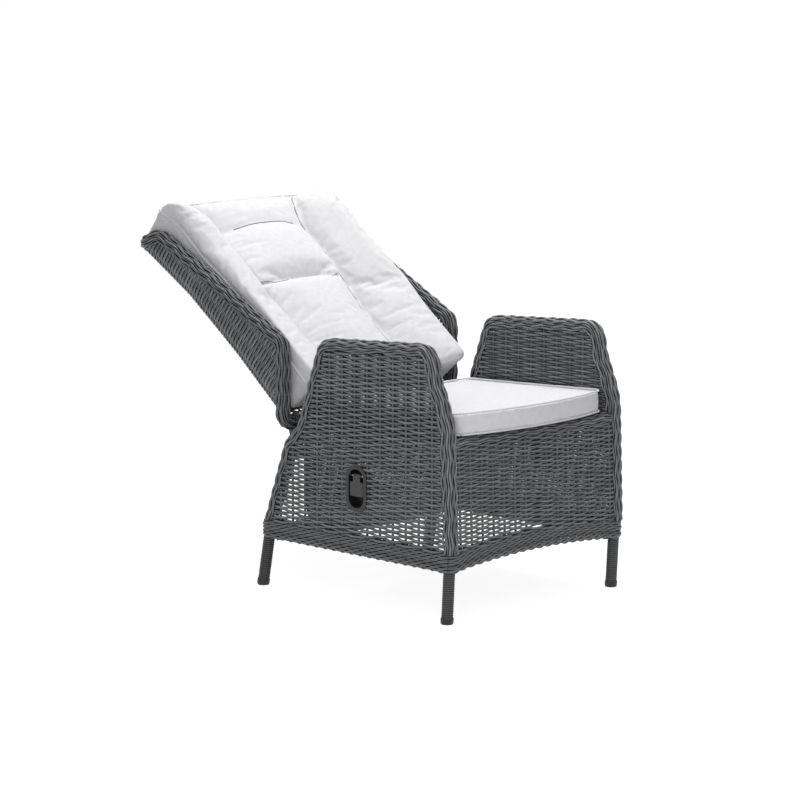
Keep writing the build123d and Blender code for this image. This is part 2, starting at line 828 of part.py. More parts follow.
strut_axis = (strut_high - strut_low).normalized()
strut_length = (strut_high - strut_low).length
strut_raised = turned_back(strut_high, recline_range) - strut_low
strut_stroke = strut_raised.length - strut_length
strut_swing = math.degrees(
    math.atan2(strut_raised.Z, strut_raised.Y) - math.atan2(strut_axis.Z, strut_axis.Y)
)


def along_strut(distance, aside=0):
    """Point on the strut's middle line, aside meaning towards the front of the chair."""
    across = Vector(0, -strut_axis.Z, strut_axis.Y)
    return strut_low + strut_axis * distance + across * aside


def strut_rod_piece(start, end, diameter):
    """Round bar along the strut's middle line."""
    return rod(along_strut(start), along_strut(end), diameter)


def cross_pin(point, half, diameter):
    """Pin across the chair, centred on the middle plane."""
    return rod((-half, point.Y, point.Z), (half, point.Y, point.Z), diameter)


lower_lug_x = strut_head_half + strut_lug_gap + release_arm_thick
upper_lug_x = strut_eye_half + strut_lug_gap


def lug_spans(inner_x):
    """X spans of the two lugs beside a strut eye or head."""
    return [(-inner_x - strut_lug_thick, -inner_x), (inner_x, inner_x + strut_lug_thick)]


def lugs(inner_x, point, base, base_radius, tube_dia):
    """Pair of lugs on a cross tube, bored for a pin."""
    pair = []
    for x_low, x_high in lug_spans(inner_x):
        lug = link_plate(base, base_radius, point, strut_lug_round, x_low, x_high)
        lug -= rod((x_low - overrun, base.Y, base.Z), (x_high + overrun, base.Y, base.Z),
                   tube_dia + 2 * fit_gap)
        lug -= rod((x_low - overrun, point.Y, point.Z), (x_high + overrun, point.Y, point.Z),
                   strut_pin_dia + 2 * run_gap)
        pair.append(lug)
    return pair


def strut_pin(inner_x, point):
    """Headed pin through a pair of lugs."""
    reach = lug_spans(inner_x)[1][1] + fit_gap
    pin = cross_pin(point, reach, strut_pin_dia)
    head = rod((reach, point.Y, point.Z), (reach + strut_lug_thick, point.Y, point.Z), 2 * strut_pin_dia)
    return pin + head


def rear_cross_rail():
    """Cross tube between the back legs, low down, that carries the gas strut."""
    y, z = rear_cross_y, rear_rail_z
    reach = frame_x - rim_dia / 3
    rail = straight_tube((-reach, y, z), (reach, y, z), rear_rail_dia, frame_tube_wall)
    low, high = leg_line(back_leg_y, 0, back_bend_z)
    for leg in both_sides(rod(low, high, rim_dia + 2 * seat_gap)):
        rail -= leg
    return rail.solids().sort_by(SortBy.VOLUME)[-1]


rear_cross = Vector(0, rear_cross_y, rear_rail_z)
rear_cross_front_y = rear_cross_y - rear_rail_dia / 2


def release_head():
    """Head screwed on the rod's lower end, bored for the lower pin."""
    width = 2 * strut_head_half
    block = Box(width, width, strut_head_top, align=(Align.CENTER, Align.CENTER, Align.MIN))
    block = fillet(block.edges().filter_by(Axis.Z), strut_head_half / 3)
    head = Plane(origin=strut_low, x_dir=(1, 0, 0), z_dir=strut_axis) * block
    head += cross_pin(strut_low, strut_head_half, width)
    head -= cross_pin(strut_low, frame_x, strut_pin_dia + 2 * run_gap)
    pin = along_strut(release_arm_pin_rise + strut_pin_dia)
    head += rod((-strut_head_half - release_arm_thick - strut_lug_gap, pin.Y, pin.Z),
                (-strut_head_half, pin.Y, pin.Z), release_arm_pin_dia)
    return head


def gas_rod():
    """Piston rod with its piston, inside the cylinder."""
    tip = strut_gland_start + strut_tube_length - strut_tube_wall - strut_piston_margin
    bar = strut_rod_piece(strut_head_top + fit_gap, tip, strut_rod_dia)
    bore = strut_tube_dia - 2 * strut_tube_wall - 2 * run_gap
    return bar + strut_rod_piece(tip - strut_piston_length, tip, bore)


def gas_cylinder():
    """Pressure tube, closed at its upper end, with the eye on the backrest's pin."""
    end = strut_gland_start + strut_tube_length
    body = strut_rod_piece(strut_gland_start, end, strut_tube_dia)
    body -= strut_rod_piece(strut_gland_start - overrun, end - strut_tube_wall,
                            strut_tube_dia - 2 * strut_tube_wall)
    neck = strut_rod_piece(end, strut_length, 2 * strut_eye_half)
    eye = cross_pin(strut_high, strut_eye_half, 2 * strut_eye_round)
    hole = cross_pin(strut_high, frame_x, strut_pin_dia + 2 * strut_eye_gap)
    return body + ((neck + eye) - hole)


def gas_gland():
    """Guide ring in the cylinder's lower end, round the rod."""
    outer = strut_tube_dia - 2 * strut_tube_wall - 2 * fit_gap
    ring = strut_rod_piece(strut_gland_start, strut_gland_start + strut_gland_length, outer)
    return ring - strut_rod_piece(0, strut_length, strut_rod_dia + 2 * run_gap)


# Release arm on the head, and the cable to it
arm_pivot = along_strut(release_arm_pin_rise + strut_pin_dia)
arm_x = -strut_head_half - strut_lug_gap / 2 - release_arm_thick / 2
wire_y = arm_pivot.Y - release_arm_length


def release_arm():
    """Small forked arm that presses the strut's valve when the wire pulls it down."""
    x_low = arm_x - release_arm_thick / 2
    foot_length = release_arm_width
    bar_length = release_arm_length - foot_length / 2
    bar = Pos(arm_x, arm_pivot.Y - bar_length / 2, arm_pivot.Z) * Box(
        release_arm_thick, bar_length, release_arm_width
    )
    eye = rod((x_low, arm_pivot.Y, arm_pivot.Z), (x_low + release_arm_thick, arm_pivot.Y, arm_pivot.Z),
              release_arm_width)
    foot = Pos(arm_x, wire_y, arm_pivot.Z) * Box(foot_length, foot_length, release_arm_thick)
    slot = Pos(arm_x, wire_y + (fork_room - foot_length) / 2, arm_pivot.Z) * Box(
        fork_slot, foot_length + fork_slot + fork_room, 2 * release_arm_width
    )
    hole = rod((x_low - overrun, arm_pivot.Y, arm_pivot.Z), (x_low + frame_x, arm_pivot.Y, arm_pivot.Z),
               release_arm_pin_dia + 2 * run_gap)
    return bar + eye + foot - slot - hole


arm_ball_z = arm_pivot.Z + release_arm_thick / 2 + seat_gap + nipple_dia / 2
stop_z = arm_pivot.Z - wire_free_length


def ball_wire(ball, end):
    """Wire from a ball at one end to a plain other end."""
    along = (Vector(*end) - Vector(*ball)).normalized()
    return Plane(origin=ball, z_dir=along) * Sphere(nipple_dia / 2) + rod(ball, end, wire_dia)


def arm_wire():
    """The strut's end of the inner wire, from inside the sheath to the ball over the fork."""
    return ball_wire((arm_x, wire_y, arm_ball_z), (arm_x, wire_y, stop_z - wire_keep))


def cable_stop():
    """Angle bracket on the low cross rail that holds the end of the cable's sheath."""
    width = 3 * cable_dia
    back_y = rear_cross_front_y - seat_gap
    low_z = rear_rail_z - rear_rail_dia / 4
    web = Pos(arm_x, back_y - stop_thick / 2, (low_z + stop_z) / 2) * Box(width, stop_thick, stop_z - low_z)
    front_y = wire_y - cable_dia
    tab = Pos(arm_x, (front_y + back_y) / 2, stop_z - stop_thick / 2) * Box(
        width, back_y - front_y, stop_thick
    )
    hole = rod((arm_x, wire_y, 0), (arm_x, wire_y, 2 * stop_z), cable_dia + 2 * fit_gap)
    return web + tab - hole


# Whole route of the cable
wire_z = lever_pin_z - hook_drop
gland_x = -frame_x - side_panel_out - weave_thick / 2 + housing_depth
cable_start_x = gland_x - housing_wall / 2
cable_rail_y = rear_cross_front_y - clip_thick - cable_dia / 2
clipped_from = (clipped_from_x, cable_rail_y, clipped_from_z)
clipped_to = (clipped_to_x, cable_rail_y, clipped_to_z)
cable_low_end = [(arm_x, wire_y, stop_z - cable_last_run), (arm_x, wire_y, stop_z)]
cable_points = [
    (cable_start_x, lever_y, wire_z), *cable_upper_route, clipped_from, clipped_to,
    *cable_lower_route, *cable_low_end,
]


def cable_path():
    """Route of the release cable, each bend as large as its two runs allow."""
    runs = [(Vector(*b) - Vector(*a)) for a, b in zip(cable_points[:-1], cable_points[1:])]
    radii = []
    for first, second in zip(runs[:-1], runs[1:]):
        turn = math.radians(first.get_angle(second))
        radii.append(cable_bend_share * min(first.length, second.length) / math.tan(turn / 2))
    print("cable radii", [round(r, 1) for r in radii])
    return FilletPolyline(*cable_points, radius=radii)


def release_cable():
    """Sheath of the release cable, bored at both ends for the moving wire."""
    path = cable_path()
    cable = round_sweep(path, cable_dia)
    expected = math.pi * (cable_dia / 2) ** 2 * path.length
    print("cable length", round(path.length, 1), "volume over section times length",
          round(cable.volume / expected, 4))
    cable -= rod(cable_points[0], (cable_start_x + wire_bore_depth, lever_y, wire_z), wire_bore)
    return cable - rod(cable_points[-1], (arm_x, wire_y, stop_z - wire_bore_depth), wire_bore)


def cable_clips():
    """Saddle clips that hold the cable to the front of the low cross rail."""
    clips = []
    start, end = Vector(*clipped_from), Vector(*clipped_to)
    along = (end - start).normalized()
    for share in clip_place_shares:
        point = start + (end - start) * share
        height = cable_dia + 2 * clip_thick
        block = Pos(point.X, (point.Y + rear_cross_y) / 2, point.Z) * Box(
            2 * cable_dia, rear_cross_y - point.Y + height, height
        )
        block -= rod(point - along * frame_x, point + along * frame_x, cable_dia + 2 * fit_gap)
        block -= rod((-frame_x, rear_cross_y, rear_rail_z), (frame_x, rear_cross_y, rear_rail_z),
                     rear_rail_dia + 2 * fit_gap)
        clips.append(block.solids().sort_by(Axis.Y)[0])
    return clips


# Release lever
def housing_outline(width, height):
    """Upright slot shape round the lever's middle, in the YZ plane."""
    return Plane.YZ * Pos(lever_y, lever_z) * RectangleRounded(width, height, width * housing_corner_share)


face_x = -frame_x - side_panel_out - weave_thick / 2
hollow_width = housing_width - 2 * housing_border - 2 * housing_wall
hollow_height = housing_height - 2 * housing_border - 2 * housing_wall


def lever_housing():
    """Moulded pocket set in the left side panel, with a flange outside and a cable gland."""
    pocket_width, pocket_height = hollow_width + 2 * housing_wall, hollow_height + 2 * housing_wall
    flange = side_plate(housing_outline(housing_width, housing_height),
                        face_x - housing_flange_thick - seat_gap, face_x - seat_gap)
    flange = fillet(flange.faces().sort_by(Axis.X)[0].edges(), housing_flange_thick / 2)
    pocket = side_plate(housing_outline(pocket_width, pocket_height), face_x - seat_gap, gland_x)
    hollow = side_plate(housing_outline(hollow_width, hollow_height),
                        face_x - 2 * housing_flange_thick, gland_x - housing_wall)
    gland = rod((gland_x - housing_wall / 2, lever_y, wire_z), (gland_x + cable_dia, lever_y, wire_z),
                2 * cable_dia)
    body = flange + pocket - hollow + gland
    body -= rod((cable_start_x - fit_gap, lever_y, wire_z), (0, lever_y, wire_z), cable_dia + 2 * fit_gap)
    body -= rod((face_x, lever_y, wire_z), (0, lever_y, wire_z), wire_bore)
    start, end = lever_pin_ends()
    return body - rod(start, end, lever_pin_dia + 2 * fit_gap)


lever_outer_x = face_x - housing_flange_thick / 2
lever_pin_x = lever_outer_x + lever_thick


def lever_pin_ends():
    """Ends of the lever pin, in the middle of the housing's side walls."""
    reach = hollow_width / 2 + housing_wall / 2
    return (lever_pin_x, lever_y - reach, lever_pin_z), (lever_pin_x, lever_y + reach, lever_pin_z)


def lever_pin():
    """Pin that the lever turns on, held between the housing's walls."""
    return rod(*lever_pin_ends(), lever_pin_dia)


def lever_block(width, x_low, x_high, z_low, z_high):
    """Block centred on the lever's middle plane."""
    centre = ((x_low + x_high) / 2, lever_y, (z_low + z_high) / 2)
    return Pos(*centre) * Box(x_high - x_low, width, z_high - z_low)


def release_lever():
    """Paddle on a stem, hung from the lever pin, with a slotted hook behind for the wire."""
    paddle_z = (lever_paddle_top_z + lever_paddle_low_z) / 2
    paddle = Plane.YZ * Pos(lever_y, paddle_z) * RectangleRounded(
        lever_paddle_width, lever_paddle_top_z - lever_paddle_low_z, lever_round
    )
    lever = side_plate(paddle, lever_outer_x, lever_pin_x)
    lever += lever_block(lever_stem_width, lever_outer_x, lever_pin_x,
                         lever_paddle_top_z - lever_round, lever_pin_z)
    half = lever_stem_width / 2
    lever += rod((lever_pin_x, lever_y - half, lever_pin_z), (lever_pin_x, lever_y + half, lever_pin_z),
                 2 * lever_thick)
    hook_x = lever_pin_x + hook_reach
    slot_top = wire_z + hook_rise
    lever += lever_block(hook_width, lever_pin_x, hook_x + stop_thick, slot_top, slot_top + stop_thick)
    lever += lever_block(hook_width, hook_x, hook_x + stop_thick, wire_z - hook_low, slot_top)
    lever -= lever_block(fork_slot, hook_x - stop_thick, hook_x + 2 * stop_thick,
                         wire_z - 2 * hook_low, slot_top)
    return lever - rod((lever_pin_x, lever_y - frame_x, lever_pin_z),
                       (lever_pin_x, lever_y + frame_x, lever_pin_z), lever_pin_dia + 2 * run_gap)


def lever_wire():
    """The lever's end of the inner wire, from the ball at the hook into the sheath."""
    ball_x = lever_pin_x + hook_reach - seat_gap - nipple_dia / 2
    return ball_wire((ball_x, lever_y, wire_z), (cable_start_x + wire_reach, lever_y, wire_z))


# Back cushion
back_cushion_back_n = brace_dia + 2 * seat_gap


def back_cushion_section(t, dip, pull):
    """Closed section of the back cushion, its centre dipped at a channel and its front pulled in."""
    share = (back_cushion_top_t - t) / (back_cushion_top_t - back_cushion_low_t)
    crest = crest_top_n + (crest_low_n - crest_top_n) * share - pull
    seam_x = seam_top_x + (seam_low_x - seam_top_x) * share
    half, back = back_cushion_half, back_cushion_back_n
    edge, seam = side_edge_n - pull, seam_n - pull
    middle = (half + seam_x) / 2
    pieces = [
        Line((-half, back), (half, back)),
        ThreePointArc((half, back), (half - seat_draw_in, (edge + back) / 2), (half, edge)),
        ThreePointArc((half, edge), (middle, crest), (seam_x, seam)),
        ThreePointArc((seam_x, seam), (0, seam + centre_rise - dip), (-seam_x, seam)),
        ThreePointArc((-seam_x, seam), (-middle, crest), (-half, edge)),
        ThreePointArc((-half, edge), (seat_draw_in - half, (edge + back) / 2), (-half, back)),
    ]
    wire = Wire([edge_piece for piece in pieces for edge_piece in piece.edges()])
    plane = Plane(origin=on_back(0, t, 0), x_dir=(-1, 0, 0), z_dir=back_up)
    return plane * make_face(wire)


def back_cushion():
    """Back cushion: two side bolsters and a centre with a deep and a soft cross channel."""
    stations = [(back_cushion_low_t - back_cushion_half / 2, 0, 0)]
    for middle, depth in ((deep_channel_t, deep_channel_depth), (soft_channel_t, soft_channel_depth)):
        stations.append((middle - channel_half, 0, 0))
        stations.append((middle, depth, 0))
        stations.append((middle + channel_half, 0, 0))
    stations.append((back_cushion_top_t - top_round, 0, 0))
    stations.append((back_cushion_top_t - top_round / 3, 0, top_pull_in / 3))
    stations.append((back_cushion_top_t, 0, top_pull_in))
    pad = loft([back_cushion_section(*station) for station in stations], ruled=True)
    tip = Vector(0, back_cushion_low_t, back_cushion_low_n)
    heel = Vector(0, back_cushion_heel_t, back_cushion_heel_n)
    deep = back_cushion_half * 2
    points = [
        on_back(0, tip.Y, deep), on_back(0, tip.Y, tip.Z), on_back(0, heel.Y, heel.Z),
        on_back(0, heel.Y, -deep), on_back(0, -deep, -deep), on_back(0, -deep, deep),
    ]
    pad -= side_plate(make_face(Polyline(*points, close=True)), -deep, deep)
    for rim in both_sides(round_sweep(back_loop(), back_rim_dia + 4 * seat_gap)):
        pad -= rim
    return pad


low_tube = on_back(0, back_low_t, back_low_n)
upper_lug_foot = back_tube_dia / 2 + strut_lug_thick
lower_lug_foot = rear_rail_dia / 2 + fit_gap


def make_parts():
    """Every node of the chair, by name."""
    left_frame, right_frame = both_sides(side_frame())
    left_rim, right_rim = both_sides(arm_rim())
    boss_holes = [rod((-frame_x, pivot_y, pivot_z), (0, pivot_y, pivot_z), pivot_boss_dia + 2 * fit_gap),
                  rod((0, pivot_y, pivot_z), (frame_x, pivot_y, pivot_z), pivot_boss_dia + 2 * fit_gap)]
    left_rim -= boss_holes[0]
    right_rim -= boss_holes[1]
    left_skirt, right_skirt = both_sides(side_skirt())
    left_lining, right_lining = both_sides(arm_lining())
    return {
        "side_frame_left": [left_frame],
        "side_frame_right": [right_frame],
        "arm_rim_left": [left_rim],
        "arm_rim_right": [right_rim],
        "leg_wraps": leg_wraps(),
        "foot_caps": foot_caps(),
        "side_skirt_left": [left_skirt],
        "side_skirt_right": [right_skirt],
        "front_skirt": [front_skirt()],
        "side_panel_left": [side_panel(True)],
        "side_panel_right": [mirror(side_panel(False), about=Plane.YZ)],
        "arm_lining_left": [left_lining],
        "arm_lining_right": [right_lining],
        "front_panel": [front_panel()],
        "rear_panel_frame": [rear_frame()],
        "rear_panel": [rear_panel()],
        "front_rail": [front_rail()],
        "front_rail_wrap": [front_rail_wrap()],
        "rear_seat_rail": [rear_seat_rail()],
        "seat_side_rails": seat_side_rails(),
        "seat_cross_bars": seat_cross_bars(),
        "seat_straps": seat_straps(),
        "seat_cushion": [seat_cushion()],
        "rear_cross_rail": [rear_cross_rail()],
        "strut_lower_lugs": lugs(lower_lug_x, strut_low, rear_cross, lower_lug_foot, rear_rail_dia),
        "strut_lower_pin": [strut_pin(lower_lug_x, strut_low)],
        "pivot_studs": pivot_studs(),
        "pivot_nuts": pivot_nuts(),
        "lever_housing": [lever_housing()],
        "lever_pin": [lever_pin()],
        "release_cable": [release_cable()],
        "lever_wire": [lever_wire()],
        "arm_wire": [arm_wire()],
        "cable_stop": [cable_stop()],
        "cable_clips": cable_clips(),
        "back_frame": [back_frame()],
        "back_rim": [back_rim()],
        "back_shell": [back_shell()],
        "back_braces": back_braces(),
        "hinge_plates": hinge_plates(),
        "hinge_bushes": hinge_bushes(),
        "strut_upper_lugs": lugs(upper_lug_x, strut_high, low_tube, upper_lug_foot, back_tube_dia),
        "strut_upper_pin": [strut_pin(upper_lug_x, strut_high)],
        "back_cushion": [back_cushion()],
        "release_head": [release_head()],
        "gas_rod": [gas_rod()],
        "gas_cylinder": [gas_cylinder()],
        "gas_gland": [gas_gland()],
        "release_arm": [release_arm()],
        "release_lever": [release_lever()],
    }


def main():
    """Build every node, centre the chair over the origin and write one STEP file a node."""
    os.makedirs("parts", exist_ok=True)
    nodes = {}
    for name, pieces in make_parts().items():
        nodes[name] = Compound(children=[solid for piece in pieces for solid in piece.solids()])
    boxes = [shape.bounding_box() for shape in nodes.values()]
    shift = -(min(box.min.Y for box in boxes) + max(box.max.Y for box in boxes)) / 2
    for name, shape in nodes.items():
        export_step(Pos(0, shift, 0) * shape, f"parts/{name}.step")
    print("shift_y", round(shift, 4))
    print("back_hinge", pivot_y + shift, pivot_z)
    print("strut_low", strut_low_y + shift, strut_low_z, "axis", tuple(strut_axis))
    print("strut_stroke", strut_stroke, "strut_swing", strut_swing)
    print("lever_hinge", lever_pin_x, lever_y + shift, lever_pin_z)
    print("release_arm_hinge", arm_x, arm_pivot.Y + shift, arm_pivot.Z)


if __name__ == "__main__":
    main()
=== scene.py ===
import logging
import math
from dataclasses import dataclass, field
from enum import Enum
from typing import Callable, Optional, Sequence

import bpy
import numpy as np
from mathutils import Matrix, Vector
from mathutils.kdtree import KDTree


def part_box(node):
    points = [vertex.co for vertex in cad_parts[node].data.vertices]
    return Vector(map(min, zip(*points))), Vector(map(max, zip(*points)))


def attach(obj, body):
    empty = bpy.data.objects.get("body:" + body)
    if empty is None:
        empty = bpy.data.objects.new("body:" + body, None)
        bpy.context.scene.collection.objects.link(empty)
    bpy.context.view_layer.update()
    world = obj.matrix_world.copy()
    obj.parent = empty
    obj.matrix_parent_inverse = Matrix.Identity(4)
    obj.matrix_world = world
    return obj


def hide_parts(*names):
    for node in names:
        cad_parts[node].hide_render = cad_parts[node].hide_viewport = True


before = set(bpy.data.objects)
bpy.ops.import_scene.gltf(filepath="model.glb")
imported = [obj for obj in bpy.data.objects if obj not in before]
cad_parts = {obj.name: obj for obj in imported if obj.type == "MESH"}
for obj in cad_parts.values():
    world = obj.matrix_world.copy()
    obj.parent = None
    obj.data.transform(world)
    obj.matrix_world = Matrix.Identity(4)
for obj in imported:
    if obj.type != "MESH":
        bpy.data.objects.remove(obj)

logging.basicConfig(level=logging.INFO, format="%(message)s")
log = logging.getLogger("garden_armchair")

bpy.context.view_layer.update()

MM = 0.001
# The chair is drawn with Y = 0 about midway between its feet; the frame's origin is under its whole length.
DRAWN_TO_FRAME = np.array([0.0, -212.4991, 0.0])

Array = np.ndarray
Stretch = tuple[float, float]


class Side(Enum):
    """The two sides of the chair; the value is the sign of X."""

    LEFT = -1
    RIGHT = 1


class Body(Enum):
    """Bodies of the mechanism that pieces ride on."""

    BASE = "base"
    BACKREST = "backrest"


class Slot(Enum):
    """Material slots named for the modelled pieces."""

    RESIN = "woven_resin"
    FABRIC = "cushion_fabric"


# Materials


def linear(colour: str) -> tuple[float, float, float, float]:
    """Turns an sRGB hex colour to linear values.

    Args:
        colour: Six hex digits with a leading #.

    Returns:
        Red, green, blue and alpha as linear floats.
    """
    parts = [int(colour[i:i + 2], 16) / 255 for i in (1, 3, 5)]
    return (*[v / 12.92 if v <= 0.04045 else ((v + 0.055) / 1.055) ** 2.4 for v in parts], 1.0)


def add_node(tree: bpy.types.NodeTree, kind: str, settings: Optional[dict] = None,
             links: Optional[dict] = None) -> bpy.types.Node:
    """Adds a node with its settings, and gives its sockets a value or a link.

    Args:
        tree: Node tree that the node goes in.
        kind: Type name of the node.
        settings: Attributes of the node by name.
        links: Sockets by name or number, each with a value or another node's output.

    Returns:
        The new node.
    """
    node = tree.nodes.new(kind)
    for name, value in (settings or {}).items():
        setattr(node, name, value)
    for socket, value in (links or {}).items():
        if isinstance(value, bpy.types.NodeSocket):
            tree.links.new(value, node.inputs[socket])
        else:
            node.inputs[socket].default_value = value
    return node


def set_ramp(node: bpy.types.Node, stops: Sequence[tuple[float, str]]) -> None:
    """Sets the stops of a colour ramp node.

    Args:
        node: The colour ramp node.
        stops: Places from 0 to 1, each with an sRGB hex colour.
    """
    ramp = node.color_ramp
    while len(ramp.elements) > 1:
        ramp.elements.remove(ramp.elements[-1])
    ramp.elements[0].position = stops[0][0]
    ramp.elements[0].color = linear(stops[0][1])
    for place, colour in stops[1:]:
        ramp.elements.new(place).color = linear(colour)


@dataclass(frozen=True)
class Finish:
    """What every finish shares: its name and the plain settings of its shader."""

    name: str
    roughness: float
    metallic: float = 0.0
    ior: float = 1.5

    def start(self) -> tuple[bpy.types.Material, bpy.types.NodeTree, bpy.types.Node]:
        """Makes the material with a shader and an output.

        Returns:
            The material, its node tree and its shader node.
        """
        made = bpy.data.materials.new(self.name)
        made.use_nodes = True
        tree = made.node_tree
        tree.nodes.clear()
        shader = add_node(tree, "ShaderNodeBsdfPrincipled", links={
            "Roughness": self.roughness, "Metallic": self.metallic, "IOR": self.ior,
        })
        add_node(tree, "ShaderNodeOutputMaterial", links={"Surface": shader.outputs["BSDF"]})
        return made, tree, shader


@dataclass(frozen=True)
class ResinStrand(Finish):
    """Extruded polyethylene strand, sold as resin wicker: a dark grey round rod in streaked greys.

    The eye sees strands of slightly different grey, long streaks from the die along each strand and
    a soft highlight along its crown, because the plastic is smooth but not polished. Where strands
    cross, little light gets in, so the gaps are painted nearly black as painted shade.
    """

    dark: str = "#484a4c"
    pale: str = "#8a8b8d"
    # Painted shade: the near-black colour painted into the gaps between strands.
    gap: str = "#101011"
    gap_shade_mm: float = 7.0
    streak_mm: float = 90.0
    groove_share: float = 0.16      # width of a die streak as a share of the way round a strand
    streak_part: float = 0.55       # how much of the shade comes from streaks, the rest from the strand
    streak_depth_mm: float = 0.3

    def build(self) -> bpy.types.Material:
        """Builds the material from the strand map: U runs along a strand in metres, V counts strands.

        Returns:
            The material.
        """
        made, tree, shader = self.start()
        strand = add_node(tree, "ShaderNodeUVMap", {"uv_map": "strand"})
        split = add_node(tree, "ShaderNodeSeparateXYZ", links={0: strand.outputs["UV"]})
        number = add_node(tree, "ShaderNodeMath", {"operation": "FLOOR"}, {0: split.outputs["Y"]})
        tone = add_node(tree, "ShaderNodeTexWhiteNoise", {"noise_dimensions": "1D"},
                        {"W": number.outputs[0]})
        lengthwise = add_node(tree, "ShaderNodeMapping", links={
            "Vector": strand.outputs["UV"], "Scale": (1 / (self.streak_mm * MM), 1 / self.groove_share, 1.0),
        })
        streak = add_node(tree, "ShaderNodeTexNoise", {"noise_dimensions": "2D"}, {
            "Vector": lengthwise.outputs[0], "Scale": 1.0, "Detail": 3.0, "Roughness": 0.6,
        })
        mixed = add_node(tree, "ShaderNodeMix", {"data_type": "FLOAT"}, {
            0: self.streak_part, 2: tone.outputs["Value"], 3: streak.outputs[0],
        })
        ramp = add_node(tree, "ShaderNodeValToRGB", links={0: mixed.outputs[0]})
        set_ramp(ramp, [(0.12, self.dark), (0.85, self.pale)])
        # Painted shade: an occlusion test darkens the colour towards the gap colour where strands lie close.
        gap_shade_ao = add_node(tree, "ShaderNodeAmbientOcclusion", {"samples": 4}, {"Distance": self.gap_shade_mm * MM})
        unshaded_share = add_node(tree, "ShaderNodeMapRange", links={
            "Value": gap_shade_ao.outputs["AO"], "From Min": 0.2, "From Max": 0.85,
        })
        shaded = add_node(tree, "ShaderNodeMix", {"data_type": "RGBA"}, {
            0: unshaded_share.outputs[0], 6: linear(self.gap), 7: ramp.outputs[0],
        })
        tree.links.new(shaded.outputs[2], shader.inputs["Base Color"])
        bump = add_node(tree, "ShaderNodeBump", links={
            "Strength": 0.25, "Distance": self.streak_depth_mm * MM, "Height": streak.outputs[0],
        })
        tree.links.new(bump.outputs[0], shader.inputs["Normal"])
        return made


@dataclass(frozen=True)
class CushionCloth(Finish):
    """Outdoor polyester canvas in a plain weave, off-white, filled with foam and fibre.

    The eye sees a matt, faintly cool white with a fine thread pattern and a soft sheen at grazing
    angles from the loose fibres on its surface.
    """

    shade: str = "#e4e3e6"
    light: str = "#ecebed"
    thread_mm: float = 1.6     # twice the real thread spacing, which would be too fine to show
    thread_depth_mm: float = 0.3
    slub_mm: float = 14.0

    def build(self) -> bpy.types.Material:
        """Builds the material from the object's own coordinates, so it needs no map.

        Returns:
            The material.
        """
        made, tree, shader = self.start()
        shader.inputs["Sheen Weight"].default_value = 0.25
        shader.inputs["Sheen Roughness"].default_value = 0.5
        place = add_node(tree, "ShaderNodeTexCoord")
        slub = add_node(tree, "ShaderNodeTexNoise", links={
            "Vector": place.outputs["Object"], "Scale": 1 / (self.slub_mm * MM), "Detail": 4.0,
        })
        ramp = add_node(tree, "ShaderNodeValToRGB", links={0: slub.outputs[0]})
        set_ramp(ramp, [(0.3, self.shade), (0.7, self.light)])
        tree.links.new(ramp.outputs[0], shader.inputs["Base Color"])
        heights = []
        for direction in ("X", "Y"):
            wave = add_node(tree, "ShaderNodeTexWave", {"bands_direction": direction}, {
                "Vector": place.outputs["Object"],
                # A wave repeats every 2 pi / 20 of its scaled length.
                "Scale": math.tau / 20 / (self.thread_mm * MM), "Distortion": 0.6,
            })
            heights.append(wave.outputs["Fac"])
        thread = add_node(tree, "ShaderNodeMath", {"operation": "MAXIMUM"}, {0: heights[0], 1: heights[1]})
        bump = add_node(tree, "ShaderNodeBump", links={
            "Strength": 0.35, "Distance": self.thread_depth_mm * MM, "Height": thread.outputs[0],
        })
        tree.links.new(bump.outputs[0], shader.inputs["Normal"])
        return made


@dataclass(frozen=True)
class GrainedSurface(Finish):
    """A plain coloured surface with a fine grain, by its size in millimetres.

    One class serves the moulded, coated, woven and metal parts of the frame, because each differs
    only in colour, gloss and the size and depth of its grain.
    """

    dark: str = "#202122"
    pale: str = "#2c2d2e"
    grain_mm: float = 1.2
    depth_mm: float = 0.05
    patch_grains: float = 40.0      # size of the faint patches in its colour, in grains

    def build(self) -> bpy.types.Material:
        """Builds the material from the object's own coordinates.

        Returns:
            The material.
        """
        made, tree, shader = self.start()
        place = add_node(tree, "ShaderNodeTexCoord")
        grain = add_node(tree, "ShaderNodeTexNoise", links={
            "Vector": place.outputs["Object"], "Scale": 1 / (self.grain_mm * MM), "Detail": 2.0,
        })
        patch = add_node(tree, "ShaderNodeTexNoise", links={
            "Vector": place.outputs["Object"], "Scale": 1 / (self.patch_grains * self.grain_mm * MM),
            "Detail": 3.0,
        })
        ramp = add_node(tree, "ShaderNodeValToRGB", links={0: patch.outputs[0]})
        set_ramp(ramp, [(0.3, self.dark), (0.7, self.pale)])
        tree.links.new(ramp.outputs[0], shader.inputs["Base Color"])
        bump = add_node(tree, "ShaderNodeBump", links={
            "Strength": 0.5, "Distance": self.depth_mm * MM, "Height": grain.outputs[0],
        })
        tree.links.new(bump.outputs[0], shader.inputs["Normal"])
        return made


